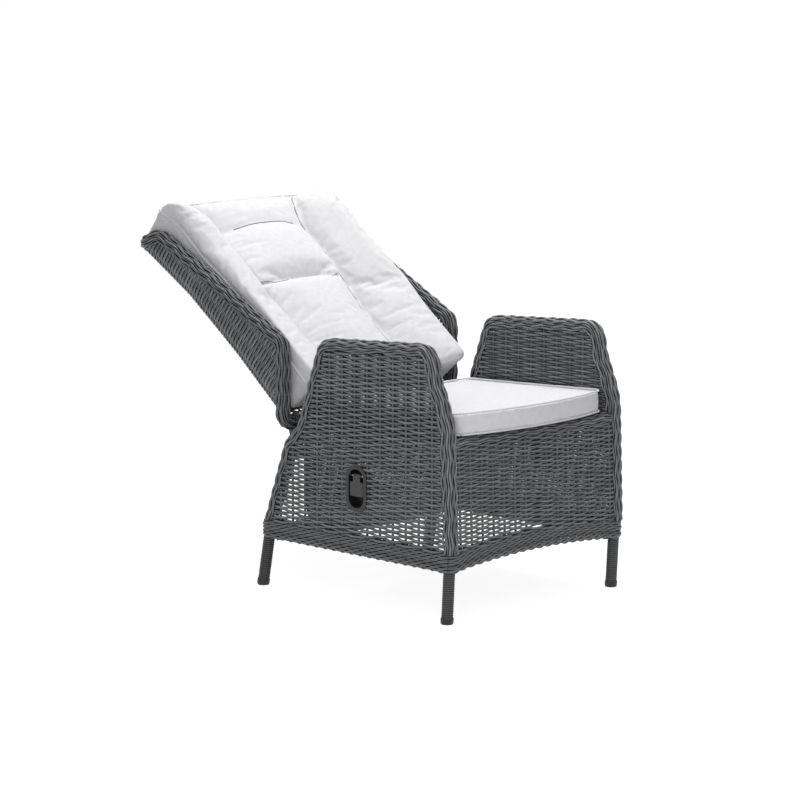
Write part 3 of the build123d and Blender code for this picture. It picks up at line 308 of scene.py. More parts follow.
class Finishes:
    """Every material of the chair, made once."""

    def __init__(self) -> None:
        """Makes the materials."""
        # Smooth extruded plastic: a soft highlight along each strand.
        self.resin = ResinStrand("polyethylene_wicker_strand", roughness=0.42, ior=1.51).build()
        # Painted shade: the back's rim and the skirts look a shade darker than the sheets do, so they get a
        # darker copy of the same strand.
        self.shaded_border_resin = ResinStrand("polyethylene_border_strand_painted_shade", roughness=0.42, ior=1.51,
                                        dark="#38393b", pale="#717274").build()
        # Painted shade: the fine strand round the legs is the same plastic, duller, in a darker copy for the
        # shade between its close turns.
        self.shaded_fine_resin = ResinStrand("polyethylene_fine_strand_painted_shade", roughness=0.55, ior=1.51,
                                      dark="#2e2f31", pale="#5a5b5d").build()
        # Matt spun polyester.
        self.cloth = CushionCloth("polyester_canvas_off_white", roughness=0.9, ior=1.46).build()
        # Painted shade: the back cushion's cloth is the same, in a copy a shade greyer, as it looks beside
        # the seat.
        self.back_cloth_painted_shade = CushionCloth("polyester_canvas_back_cushion", roughness=0.9, ior=1.46,
                                       shade="#dcdbde", light="#e5e4e6").build()
        # Piping is the same cloth, drawn tight round a cord, so it looks a little smoother.
        self.piping = CushionCloth("polyester_canvas_piping", roughness=0.85, ior=1.46,
                                   shade="#e2e1e4", light="#eae9eb").build()
        # Seams are the cloth folded in and stitched; their grey is painted shade for the creases, as the
        # cloth is the same off-white.
        self.seam = CushionCloth("polyester_seam_painted_shade", roughness=0.95, ior=1.46,
                                 shade="#8e8e92", light="#a2a2a6").build()
        # Powder-coated aluminium tube: an even satin dark grey with a faint orange peel.
        self.tube = GrainedSurface("powder_coated_aluminium", roughness=0.5, dark="#2b2c2e",
                                   pale="#323335", grain_mm=0.9, depth_mm=0.04).build()
        # Injection-moulded polypropylene: near black with a spark-eroded grain.
        self.plastic = GrainedSurface("moulded_polypropylene_black", roughness=0.42, dark="#171719",
                                      pale="#1d1d1f", grain_mm=0.8, depth_mm=0.06).build()
        # The lever is nylon, polished by fingers, so a little glossier and a shade lighter.
        self.lever = GrainedSurface("moulded_nylon_dark_grey", roughness=0.35, dark="#28282b",
                                    pale="#2f2f32", grain_mm=0.8, depth_mm=0.04).build()
        # Elastic webbing of rubber and polyester: matt black with a coarse rib.
        self.webbing = GrainedSurface("elastic_webbing_black", roughness=0.85, dark="#1a1a1b",
                                      pale="#242425", grain_mm=2.0, depth_mm=0.3).build()
        # Zinc-plated steel: bright grey with a fine drawn grain.
        self.steel = GrainedSurface("zinc_plated_steel", roughness=0.32, metallic=1.0, dark="#a3a5a8",
                                    pale="#b4b6b9", grain_mm=0.6, depth_mm=0.02).build()
        # Painted steel tube of the gas strut: satin black.
        self.strut = GrainedSurface("painted_steel_satin_black", roughness=0.3, dark="#121314",
                                    pale="#17181a", grain_mm=1.5, depth_mm=0.02).build()
        # Extruded PVC sheath of the release cable: smooth black.
        self.sheath = GrainedSurface("extruded_pvc_black", roughness=0.38, dark="#161718",
                                     pale="#1c1d1e", grain_mm=1.0, depth_mm=0.03).build()


# Lines and meshes


def filleted(points: Sequence[Sequence[float]], radii: Sequence[float], step: float = 4.0) -> Array:
    """Rounds the inner corners of a polyline with arcs.

    Args:
        points: Corner points in two or three dimensions, in millimetres.
        radii: One radius for each inner corner.
        step: Distance between the samples along the arcs.

    Returns:
        The line's points, arcs sampled and straight runs left long.
    """
    corners = [np.array(p, float) for p in points]
    line = [corners[0]]
    for before, corner, after, radius in zip(corners[:-2], corners[1:-1], corners[2:], radii):
        first = (corner - before) / np.linalg.norm(corner - before)
        second = (after - corner) / np.linalg.norm(after - corner)
        turn = math.acos(max(-1.0, min(1.0, float(first @ second))))
        reach = radius * math.tan(turn / 2)
        start, end = corner - first * reach, corner + second * reach
        inward = second - first
        centre = corner + inward / np.linalg.norm(inward) * radius / math.cos(turn / 2)
        count = max(3, int(radius * turn / step) + 1)
        for share in np.linspace(0, 1, count):
            a = math.sin((1 - share) * turn) / math.sin(turn)
            b = math.sin(share * turn) / math.sin(turn)
            line.append(centre + (start - centre) * a + (end - centre) * b)
    line.append(corners[-1])
    return np.array(line)


def even(line: Array, step: float) -> Array:
    """Spaces points evenly along a line.

    Args:
        line: Points of the line.
        step: Wanted distance between them; the real one divides the length.

    Returns:
        The evenly spaced points, both ends kept.
    """
    length = length_along(line)
    places = np.linspace(0, length[-1], max(2, int(round(length[-1] / step)) + 1))
    return np.stack([np.interp(places, length, line[:, i]) for i in range(line.shape[1])], axis=1)


def length_along(line: Array) -> Array:
    """Distance along a line from its start to each of its points."""
    return np.concatenate([[0], np.cumsum(np.linalg.norm(np.diff(line, axis=0), axis=1))])


def even_places(line: Array) -> Array:
    """Distance from the start to each point of an evenly spaced line."""
    return np.linspace(0, np.linalg.norm(np.diff(line, axis=0), axis=1).sum(), len(line))


def unit(vectors: Array) -> Array:
    """Rows scaled to a length of 1."""
    return vectors / np.linalg.norm(vectors, axis=1)[:, None]


def tangents(line: Array) -> Array:
    """Direction of a line at each of its points."""
    return unit(np.gradient(line, axis=0))


def bell(distance: Array, width: float) -> Array:
    """A smooth bump: 1 where the distance is 0, and about a third at the width."""
    return np.exp(-(distance / width) ** 2)


def inset(outline: Array, amount: float) -> Array:
    """Moves a closed outline inwards by its own normals.

    Args:
        outline: Points of a closed outline in two dimensions.
        amount: Distance inwards; negative grows it.

    Returns:
        The moved outline, with the same count of points.
    """
    after, before = np.roll(outline, -1, axis=0), np.roll(outline, 1, axis=0)
    along = unit(after - before)
    normal = np.stack([-along[:, 1], along[:, 0]], axis=1)
    area = np.sum(outline[:, 0] * after[:, 1] - after[:, 0] * outline[:, 1])
    return outline + normal * amount * math.copysign(1, area)


def spans(outline: Array, level: float) -> list[Stretch]:
    """Finds where a horizontal row lies inside an outline.

    Args:
        outline: Closed outline, first coordinate across and second coordinate up.
        level: Height of the row.

    Returns:
        Start and end across, for each stretch inside.
    """
    a, b = outline, np.roll(outline, -1, axis=0)
    crossed = (a[:, 1] - level) * (b[:, 1] - level) < 0
    share = (level - a[crossed, 1]) / (b[crossed, 1] - a[crossed, 1])
    places = sorted(a[crossed, 0] + share * (b[crossed, 0] - a[crossed, 0]))
    return list(zip(places[0::2], places[1::2]))


def without(stretches: list[Stretch], holes: list[Stretch], shortest: float = 2.0) -> list[Stretch]:
    """Cuts holes out of stretches of a row.

    Args:
        stretches: Start and end of each stretch.
        holes: Start and end of each hole.
        shortest: Length below which what is left at a hole is dropped.

    Returns:
        Start and end of each stretch that is left.
    """
    for low, high in holes:
        kept = []
        for start, end in stretches:
            if high <= start or low >= end:
                kept.append((start, end))
                continue
            kept += [part for part in ((start, low), (high, end)) if part[1] - part[0] > shortest]
        stretches = kept
    return stretches


def skin_quads(rings: int, count: int) -> Array:
    """Joins closed rings of points, each to the next.

    Args:
        rings: How many rings there are.
        count: How many points each of them has.

    Returns:
        Four vertex numbers a face.
    """
    ring, side = np.divmod(np.arange((rings - 1) * count), count)
    start, after = ring * count, (side + 1) % count
    return np.stack([start + side, start + after, start + count + after, start + count + side], axis=-1)


class TubeBundle:
    """Collects round strands and turns them into one mesh of quads with a strand map."""

    map_shift = 0.37    # metres from a strand's start in the map to the next one's, so streaks differ

    def __init__(self, sides: int = 6) -> None:
        """Starts an empty bundle.

        Args:
            sides: How many sides each strand's section has, an even number.
        """
        self.sides = sides
        self.rings: list[Array] = []
        self.quads: list[Array] = []
        self.maps: list[Array] = []
        self.count = 0
        self.strands = 0

    def add(self, line: Array, normal: Array, radius: float, squash: float = 1.0) -> None:
        """Adds one strand along a line.

        Args:
            line: Points of its middle line in drawn millimetres.
            normal: One direction, or one a point, that the section's first axis keeps to.
            radius: Half its width.
            squash: Thickness along the normal as a share of the width.
        """
        if len(line) < 2:
            return
        along = tangents(line)
        out = np.broadcast_to(normal, line.shape).astype(float)
        out = unit(out - along * np.sum(out * along, axis=1)[:, None])
        across = np.cross(along, out)
        angle = math.tau * np.arange(self.sides) / self.sides
        rings = line[:, None, :] + radius * (
            np.cos(angle)[None, :, None] * out[:, None, :] * squash
            + np.sin(angle)[None, :, None] * across[:, None, :]
        )
        count, sides = len(line), self.sides
        ring, side = np.divmod(np.arange((count - 1) * sides), sides)
        quads = skin_quads(count, sides)
        length = length_along(line) * MM
        offset = self.map_shift * self.strands
        u0, u1 = length[ring] + offset, length[ring + 1] + offset
        v0, v1 = self.strands + side / sides, self.strands + (side + 0.999) / sides
        uvs = np.stack([u0, v0, u0, v1, u1, v1, u1, v0], axis=-1).reshape(-1, 4, 2)
        fans = np.array([[0, j, j + 1, j + 2] for j in range(1, sides - 1, 2)])
        last = (count - 1) * sides
        caps = np.concatenate([fans[:, ::-1], fans + last])
        self.quads.append(np.concatenate([quads, caps]) + self.count)
        self.maps.append(np.concatenate([uvs, np.full((len(caps), 4, 2), [offset, self.strands + 0.5])]))
        self.rings.append(rings.reshape(-1, 3))
        self.count += count * sides
        self.strands += 1

    def build(self, name: str, material: bpy.types.Material) -> bpy.types.Object:
        """Turns the strands into one object.

        Args:
            name: Name of the piece.
            material: Material of the strands.

        Returns:
            The new object, in the shared frame.
        """
        points = (np.concatenate(self.rings) + DRAWN_TO_FRAME) * MM
        quads, maps = np.concatenate(self.quads), np.concatenate(self.maps)
        return quad_object(name, points, quads, material, maps)


def quad_object(name: str, points: Array, quads: Array, material: bpy.types.Material,
                maps: Optional[Array] = None) -> bpy.types.Object:
    """Makes a smooth object from quads.

    Args:
        name: Name of the object.
        points: Vertices in metres in the shared frame.
        quads: Four vertex numbers a face.
        material: Material of the whole object.
        maps: Strand map of each face corner, if it has one.

    Returns:
        The new object, linked to the scene.
    """
    mesh = bpy.data.meshes.new(name)
    mesh.vertices.add(len(points))
    mesh.vertices.foreach_set("co", points.astype(np.float32).ravel())
    mesh.loops.add(4 * len(quads))
    mesh.loops.foreach_set("vertex_index", quads.astype(np.int32).ravel())
    mesh.polygons.add(len(quads))
    mesh.polygons.foreach_set("loop_start", np.arange(0, 4 * len(quads), 4, dtype=np.int32))
    mesh.update(calc_edges=True)
    mesh.shade_smooth()
    if maps is not None:
        layer = mesh.uv_layers.new(name="strand")
        layer.data.foreach_set("uv", maps.astype(np.float32).ravel())
    mesh.materials.append(material)
    made = bpy.data.objects.new(name, mesh)
    bpy.context.scene.collection.objects.link(made)
    return made


def settle(made: bpy.types.Object, body: Body, slot: Slot, *nodes: str) -> bpy.types.Object:
    """Puts a finished piece on its body and in the place of CAD nodes, and reports it.

    Args:
        made: The piece.
        body: Body that it rides on.
        slot: Slot of its finish; not used.
        nodes: CAD nodes that it stands for, if any.

    Returns:
        The piece.
    """
    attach(made, body.value)
    if nodes:
        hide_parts(*nodes)
    log.info("%s: %d faces on %s", made.name, len(made.data.polygons), body.value)
    return made


@dataclass(frozen=True)
class Weave:
    """A plain weave of round strands over upright stakes, sizes in millimetres."""

    row: float
    pitch: float
    first: float
    strand: float = 6.0
    lift: float = 3.3       # how far a strand swings out and in as it passes the stakes
    crowd: float = 0.95     # how far it is pushed along the stake on its way round
    stake: float = 8.0
    flatness: float = 0.4   # thickness of a stake as a share of its width
    stake_step: float = 30.0    # between the samples of a stake
    samples: int = 8        # along one pitch

    def row_places(self, start: float, end: float) -> Array:
        """Samples a row on a grid that every row shares, with both its ends.

        Args:
            start: Place of its start.
            end: Place of its end.

        Returns:
            Places along the row.
        """
        step = self.pitch / self.samples
        inner = np.arange(math.ceil((start - self.first) / step), math.floor((end - self.first) / step) + 1)
        grid = inner * step + self.first
        return np.unique(np.concatenate([[start], grid[(grid > start + 1) & (grid < end - 1)], [end]]))

    def swing(self, places: Array, row: int) -> Array:
        """Wave of a row, 1 where it is in front of a stake and -1 where it is behind."""
        return np.cos(math.pi * (places - self.first) / self.pitch) * (-1) ** row

    def stake_places(self, start: float, end: float) -> Array:
        """Places of the stakes between two ends.

        Args:
            start: The lower end.
            end: The higher end.

        Returns:
            Their places, in order.
        """
        numbers = np.arange(math.ceil((start - self.first) / self.pitch),
                            math.floor((end - self.first) / self.pitch) + 1)
        return numbers * self.pitch + self.first


def weave_flat(bundle: TubeBundle, weave: Weave, outline: Array, normal: Array, origin: float,
               place: Callable[[Array, Array, Array], Array], holes: Sequence[Array] = ()) -> None:
    """Weaves a flat panel inside an outline.

    Args:
        bundle: Bundle that the strands go in.
        weave: Sizes of the weave.
        outline: Closed outline, across and up.
        normal: Direction out of the panel's show side.
        origin: Height of row 0.
        place: Turns across, up and out into drawn points.
        holes: Closed outlines that the strands stop at.
    """
    low, high = outline[:, 1].min(), outline[:, 1].max()
    for row in range(math.ceil((low - origin) / weave.row), math.floor((high - origin) / weave.row) + 1):
        level = origin + row * weave.row
        cuts = [cut for hole in holes for cut in spans(hole, level)]
        for start, end in without(spans(outline, level), cuts):
            across = weave.row_places(start, end)
            wave = weave.swing(across, row)
            bundle.add(place(across, level - weave.crowd * wave, weave.lift * wave), normal, weave.strand / 2)
    flipped = outline[:, ::-1]
    for middle in weave.stake_places(outline[:, 0].min(), outline[:, 0].max()):
        cuts = [cut for hole in holes for cut in spans(hole[:, ::-1], middle)]
        for start, end in without(spans(flipped, middle), cuts):
            up = np.linspace(start, end, max(2, int((end - start) / weave.stake_step)))
            bundle.add(place(np.full_like(up, middle), up, np.zeros_like(up)), normal,
                       weave.stake / 2, squash=weave.flatness)


def frames_along(line: Array, first: Array) -> tuple[Array, Array]:
    """Two directions square to a line that don't twist along it.

    Args:
        line: Evenly spaced points in three dimensions.
        first: Wanted first direction at the start.

    Returns:
        The first and second direction at each point.
    """
    along = tangents(line)
    out = np.zeros_like(line)
    current = np.array(first, float)
    for index, direction in enumerate(along):
        current = current - direction * (current @ direction)
        current /= np.linalg.norm(current)
        out[index] = current
    return out, np.cross(along, out)


@dataclass(frozen=True)
class Binding:
    """Strands laid along a rail and woven over hidden ties, sizes in millimetres."""

    radius: float
    count: int
    strand: float = 5.5
    pitch: float = 34.0
    lift: float = 2.2
    sway: float = 1.5           # how far a strand shifts round the rail
    phase: float = math.pi      # step of the wave from a strand to the next
    step: float = 4.5           # between samples
    open_degrees: float = 0.0   # strands nearer than this to the inward direction are left out

    def wrap(self, bundle: TubeBundle, line: Array, first: Array, inward: float = 90.0) -> None:
        """Lays the strands along a line.

        Args:
            bundle: Bundle that the strands go in.
            line: Middle line of the rail in drawn millimetres.
            first: Direction that the first strand lies in.
            inward: Angle from that direction to the side where strands are left out.
        """
        line = even(line, self.step)
        out, side = frames_along(line, first)
        turn = math.pi * even_places(line) / self.pitch
        for number in range(self.count):
            from_inward = (360.0 * number / self.count - inward + 180.0) % 360.0 - 180.0
            if abs(from_inward) < self.open_degrees:
                continue
            wave = np.cos(turn + number * self.phase)
            angle = math.tau * number / self.count + self.sway * np.sin(turn) / self.radius
            outward = out * np.cos(angle)[:, None] + side * np.sin(angle)[:, None]
            reach = (self.radius + self.lift * wave)[:, None]
            bundle.add(line + outward * reach, outward, self.strand / 2)


def wind(bundle: TubeBundle, start: Array, end: Array, radius: float, strand: float,
         facets: int = 18) -> None:
    """Winds a fine strand round a straight rail, turn beside turn.

    Args:
        bundle: Bundle that the strand goes in.
        start: One end of the rail's middle line.
        end: Its other end.
        radius: Distance of the strand's middle from the rail's.
        strand: Width of the strand, which is also the step of its turns.
        facets: Samples a turn.
    """
    axis = end - start
    length = np.linalg.norm(axis)
    axis = axis / length
    side = np.cross(axis, [1.0, 0, 0])
    side /= np.linalg.norm(side)
    other = np.cross(axis, side)
    turns = length / strand
    angle = np.linspace(0, math.tau * turns, int(turns * facets))
    outward = np.cos(angle)[:, None] * side + np.sin(angle)[:, None] * other
    line = start + axis * (length * angle / angle[-1])[:, None] + outward * radius
    bundle.add(line, outward, strand / 2)


# Base of the chair


@dataclass
class SideLine:
    """The bent side frame's middle line in Y and Z, as the CAD draws it, in millimetres."""

    across: float = 291.0
    foot_front: tuple = (-311.0, 0.0)
    foot_back: tuple = (316.0, 0.0)
    corners: tuple = (
        (-321.0, 177.0), (-311.0, 471.0), (-266.0, 578.0), (-259.0, 636.0), (90.0, 615.5), (164.0, 403.5),
        (209.0, 362.0), (289.0, 140.0),
    )
    radii: tuple = (300.0, 200.0, 80.0, 32.0, 30.0, 30.0, 30.0, 100.0)

    def at(self, front: bool, height: float) -> float:
        """Y of a leg at a height below the arm.

        Args:
            front: Whether it is a front leg.
            height: Height over the floor.

        Returns:
            Y of the leg's middle.
        """
        points = [self.foot_front, self.corners[0]] if front else [self.foot_back, *self.corners[:-3:-1]]
        return float(np.interp(height, [p[1] for p in points], [p[0] for p in points]))

    def line(self, low: float) -> Array:
        """The line from a height on the front leg over the arm to that height on the back leg."""
        whole = even(filleted([self.foot_front, *self.corners, self.foot_back], self.radii), 2.0)
        return whole[whole[:, 1] > low]

    def in_space(self, flat: Array, side: Side) -> Array:
        """The flat line's points on one side of the chair."""
        return np.column_stack([np.full(len(flat), side.value * self.across), flat])


@dataclass(frozen=True)
class SkirtRows:
    """Thick rows laid round the skirts' oblong section, sizes in millimetres."""

    count: int = 21
    strand: float = 6.7
    inside: float = 2.6         # how far the middles of the rows lie inside the section
    corner: float = 6.4
    pitch: float = 15.0
    lift: float = 1.6
    slide: float = 1.9          # how far a row shifts round the section
    phase: float = math.tau / 3     # step of the wave from a row to the next


@dataclass
class WovenBase:
    """Rims, woven panels, skirts and leg wraps of the fixed part, sizes in millimetres."""

    finishes: Finishes
    sides: SideLine = field(default_factory=SideLine)
    skirt_low: float = 123.0
    skirt_high: float = 170.0
    skirt_thick: float = 26.0
    skirt_out: float = 2.0
    front_arch: float = 17.0
    cap_height: float = 14.0
    panel_out: float = 9.0
    side_panel_out: float = 12.5    # the side sheets, and the arms' linings as far inside the frame
    lining_low: float = 405.0
    outline_step: float = 8.0
    tuck: float = 8.5               # how far inside the rim's middle line the side rows end
    front_tuck: float = 14.5
    front_high: float = 412.0
    rim_lap: float = 4.0            # the rims start this far below the skirts' top
    sheet_lap: float = 6.0          # and the sheets this far
    roll_short: float = 8.0         # the roll ends this far inside the side frames
    rim: Binding = Binding(radius=16.2, count=18, open_degrees=56.0)
    roll: Binding = Binding(radius=12.4, count=14)
    side_weave: Weave = Weave(row=6.15, pitch=42.6, first=-18.0)
    # The lining is packed closer and set off from the outer sheet, so no light comes through both.
    lining_weave: Weave = Weave(row=6.15, pitch=42.6, first=-11.0, strand=6.7, crowd=0.4)
    front_weave: Weave = Weave(row=5.45, pitch=37.8, first=0.0, strand=5.3, lift=2.9)
    rear_weave: Weave = Weave(row=5.8, pitch=40.0, first=0.0, strand=5.6)
    leg_strand: float = 5.3
    leg_radius: float = 12.0
    leg_laps: tuple = (1.0, 3.0)    # how far the wraps reach into the caps and behind the skirts
    skirt_rows: SkirtRows = SkirtRows()
    post_bulge: float = 4.0         # the skirts swell by this much round the posts
    housing_size: tuple = (54.6, 98.6)
    housing_middle: tuple = (-30.0, 287.0)
    housing_corner: float = 24.5
    housing_gap: float = 1.0
    rear_y: float = 180.0
    rear_half: float = 262.0
    rear_low: float = 137.0
    rear_top: float = 399.0
    rear_corner: float = 90.0
    rear_tube_radius: float = 10.0
    rear_tuck: float = 3.0          # how far the rear sheet reaches into its tube
    rear_wrap: Binding = Binding(radius=8.0, count=10, lift=0.5)

    def build(self) -> None:
        """Builds every woven piece of the base."""
        for side in Side:
            self.arm_rim(side)
            self.side_panel(side)
            self.arm_lining(side)
        self.skirts()
        self.front_panel()
        self.front_roll()
        self.rear_panel()
        self.rear_tube()
        self.leg_wraps()

    def label(self, stem: str, side: Side) -> str:
        """Name of a piece on one side."""
        return f"{stem}_{side.name.lower()}"

    def arm_rim(self, side: Side) -> None:
        """Wrapped rim over the frame tube, down to the skirt on both legs.

        Args:
            side: Side of the chair.
        """
        bundle = TubeBundle()
        line = self.sides.in_space(self.sides.line(self.skirt_high - self.rim_lap), side)
        self.rim.wrap(bundle, line, np.array([side.value, 0.0, 0.0]), inward=side.value * 90.0)
        made = bundle.build(self.label("arm_rim_weave", side), self.finishes.resin)
        settle(made, Body.BASE, Slot.RESIN, self.label("arm_rim", side))

    def slot_outline(self, grow: float = 0.0) -> Array:
        """Upright slot round the lever's housing.

        Args:
            grow: How far it stands off the housing.

        Returns:
            The slot's outline in Y and Z.
        """
        width, height = self.housing_size[0] / 2 + grow, self.housing_size[1] / 2 + grow
        y, z = self.housing_middle
        corners = [(y, z - height), (y + width, z - height), (y + width, z + height),
                   (y - width, z + height), (y - width, z - height), (y, z - height)]
        return filleted(corners, [self.housing_corner] * 4)[:-1]

    def side_sheet(self, side: Side, weave: Weave, middle: float, low: float,
                   holes: Sequence[Array]) -> TubeBundle:
        """Weaves a sheet inside a side frame.

        Args:
            side: Side of the chair.
            weave: Sizes of its weave.
            middle: Distance of the sheet from the chair's middle.
            low: Height that it starts at.
            holes: Outlines that its rows stop at.

        Returns:
            The strands of the sheet.
        """
        outline = inset(even(self.sides.line(self.skirt_low), self.outline_step), self.tuck)
        outline = outline[outline[:, 1] > low]
        bundle = TubeBundle()
        weave_flat(
            bundle, weave, outline, np.array([side.value, 0.0, 0.0]), self.skirt_high,
            lambda y, z, depth: np.column_stack([side.value * (middle + depth), y, z]), holes,
        )
        return bundle

    def side_panel(self, side: Side) -> None:
        """Woven panel inside the rim, with the lever's slot on the left.

        Args:
            side: Side of the chair.
        """
        holes = [self.slot_outline(self.housing_gap)] if side is Side.LEFT else []
        middle = self.sides.across + self.side_panel_out
        bundle = self.side_sheet(side, self.side_weave, middle, self.skirt_high - self.sheet_lap, holes)
        made = bundle.build(self.label("side_panel_weave", side), self.finishes.resin)
        settle(made, Body.BASE, Slot.RESIN, self.label("side_panel", side))

    def arm_lining(self, side: Side) -> None:
        """Woven sheet on the arm's inner side, above the seat.

        Args:
            side: Side of the chair.
        """
        middle = self.sides.across - self.side_panel_out
        bundle = self.side_sheet(side, self.lining_weave, middle, self.lining_low, [])
        made = bundle.build(self.label("arm_lining_weave", side), self.finishes.resin)
        settle(made, Body.BASE, Slot.RESIN, self.label("arm_lining", side))

    def skirt_line(self) -> tuple[Array, list[int]]:
        """Middle line of all three skirts, round the back legs and the front posts.

        Returns:
            Evenly spaced points, and the numbers of the points at the two front corners.
        """
        middle = (self.skirt_low + self.skirt_high) / 2
        x, bulge = self.sides.across + self.skirt_out, self.post_bulge
        front, back = self.sides.at(True, middle) - self.skirt_out, self.sides.at(False, middle)
        # Length of the swelling at a post, radius of its corners, and length of the end behind a back leg.
        run, turn, tail = 45.0, 8.0, 22.0
        half = filleted(
            [(x - tail, back + 2 * bulge), (x + bulge, back + 2 * bulge), (x + bulge, back - run / 2),
             (x, back - run), (x, front + run), (x + bulge, front + run / 3), (x + bulge, front - bulge),
             (x - run / 3, front - bulge), (x - run, front), (0, front)],
            [turn, run / 2, run / 2, run / 2, run / 2, turn, run / 4, run / 2], step=2.0,
        )
        loop = even(np.vstack([half * [-1, 1], half[-2::-1]]), 4.5)
        rise = self.front_arch * np.clip(1 - (loop[:, 0] / self.sides.across) ** 2, 0, 1)
        rise[loop[:, 1] > front + run] = 0
        line = np.column_stack([loop, middle + rise])
        reach = loop @ np.array([[-1, 1], [-1, -1]])
        return line, sorted(int(np.argmax(reach[:, number])) for number in (0, 1))

    def skirts(self) -> None:
        """Bordered lower edge of the side panels and the front: thick rows round an oblong section."""
        line, corners = self.skirt_line()
        rows = self.skirt_rows
        half_thick = self.skirt_thick / 2 - rows.inside
        half_high = (self.skirt_high - self.skirt_low) / 2 - rows.inside
        shape = [(0, -half_high), (half_thick, -half_high), (half_thick, half_high),
                 (-half_thick, half_high), (-half_thick, -half_high), (0, -half_high)]
        section = even(filleted(shape, [rows.corner] * 4, step=1.0), 0.5)
        marks = np.linspace(0, len(section) - 1, rows.count, endpoint=False)
        along = tangents(line)
        out = unit(np.cross(along, [0.0, 0.0, 1.0]))
        out *= np.sign(np.sum(out[len(out) // 2] * [0.0, -1.0, 0.0]))
        up = np.cross(along, out)
        up *= np.sign(up[:, 2:3])
        places = even_places(line)
        parts = {
            "side_skirt_left": slice(0, corners[0] + 1),
            "front_skirt": slice(corners[0], corners[1] + 1),
            "side_skirt_right": slice(corners[1], len(line)),
        }
        bundles = {name: TubeBundle() for name in parts}
        slots = np.arange(len(section))
        for number, mark in enumerate(marks):
            turn = math.pi * places / rows.pitch + number * rows.phase
            lift, slide = rows.lift * np.cos(turn), rows.slide * np.sin(turn)
            spot = (mark + slide) % (len(section) - 1)
            a = np.interp(spot, slots, section[:, 0])
            b = np.interp(spot, slots, section[:, 1])
            outward = unit(out * (a / half_thick)[:, None] + up * (b / half_high)[:, None])
            middle = line + out * a[:, None] + up * b[:, None] + outward * lift[:, None]
            for name, part in parts.items():
                bundles[name].add(middle[part], outward[part], rows.strand / 2)
        for name, bundle in bundles.items():
            # The skirts get the darker copy of the strand: painted shade.
            made = bundle.build(f"{name}_weave", self.finishes.shaded_border_resin)
            settle(made, Body.BASE, Slot.RESIN, name)

    def front_panel(self) -> None:
        """Woven front between the posts, leaning with them."""
        reach = self.sides.across - self.front_tuck
        low, high = self.skirt_high - self.sheet_lap, self.front_high
        x = np.linspace(reach, -reach, 41)
        arch = low + self.front_arch * (1 - (x / self.sides.across) ** 2)
        outline = np.vstack([[(-reach, low), (-reach, high), (reach, high)], np.column_stack([x, arch])[:-1]])
        post, bend = self.sides.corners[0], self.sides.corners[1]
        lean = (bend[0] - post[0]) / (bend[1] - post[1])

        def place(across: Array, up: Array, depth: Array) -> Array:
            """Points of the front panel."""
            y = post[0] + (up - post[1]) * lean - self.panel_out - depth
            return np.column_stack([across, y, up])

        bundle = TubeBundle()
        weave_flat(bundle, self.front_weave, outline, np.array([0.0, -1.0, 0.0]), self.skirt_high, place)
        made = bundle.build("front_panel_weave", self.finishes.resin)
        settle(made, Body.BASE, Slot.RESIN, "front_panel")

    def front_roll(self) -> None:
        """Wrapped roll along the top of the front panel."""
        low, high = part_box("front_rail_wrap")
        middle = (low + high) / 2 / MM
        y, z = middle.y - DRAWN_TO_FRAME[1], middle.z
        reach = self.sides.across - self.roll_short
        bundle = TubeBundle()
        self.roll.wrap(bundle, np.array([[-reach, y, z], [reach, y, z]]), np.array([0.0, -1.0, 0.0]))
        made = bundle.build("front_roll_weave", self.finishes.resin)
        settle(made, Body.BASE, Slot.RESIN, "front_rail_wrap")

    def rear_line(self) -> Array:
        """Middle line of the bent tube under the back of the seat, in X and Z."""
        half, low, top = self.rear_half, self.rear_low, self.rear_top
        return filleted([(-half, top), (-half, low), (half, low), (half, top)], [self.rear_corner] * 2)

    def rear_panel(self) -> None:
        """Woven panel in the rear bent tube."""
        line = even(self.rear_line(), self.outline_step)
        # One more point, a hair under the first, closes the outline along its top.
        outline = inset(np.vstack([line, line[:1] + [[0.0, -0.01]]]), self.rear_tube_radius - self.rear_tuck)
        bundle = TubeBundle()
        weave_flat(
            bundle, self.rear_weave, outline, np.array([0.0, 1.0, 0.0]), self.rear_low,
            lambda x, z, depth: np.column_stack([x, self.rear_y + depth, z]),
        )
        made = bundle.build("rear_panel_weave", self.finishes.resin)
        settle(made, Body.BASE, Slot.RESIN, "rear_panel")

    def rear_tube(self) -> None:
        """Strand wrap of the rear bent tube."""
        flat = self.rear_line()
        line = np.column_stack([flat[:, 0], np.full(len(flat), self.rear_y), flat[:, 1]])
        bundle = TubeBundle()
        self.rear_wrap.wrap(bundle, line, np.array([0.0, 1.0, 0.0]))
        made = bundle.build("rear_tube_weave", self.finishes.resin)
        settle(made, Body.BASE, Slot.RESIN, "rear_panel_frame")

    def leg_wraps(self) -> None:
        """Fine wrap of the four legs between caps and skirts."""
        bundle = TubeBundle()
        heights = (self.cap_height - self.leg_laps[0], self.skirt_low + self.leg_laps[1])
        for side in Side:
            for front in (True, False):
                start, end = (np.array([side.value * self.sides.across, self.sides.at(front, z), z])
                              for z in heights)
                wind(bundle, start, end, self.leg_radius, self.leg_strand)
        # The leg wraps get the darker copy of the strand: painted shade between the close turns.
        made = bundle.build("leg_wraps_fine", self.finishes.shaded_fine_resin)
        settle(made, Body.BASE, Slot.RESIN, "leg_wraps")


# Backrest


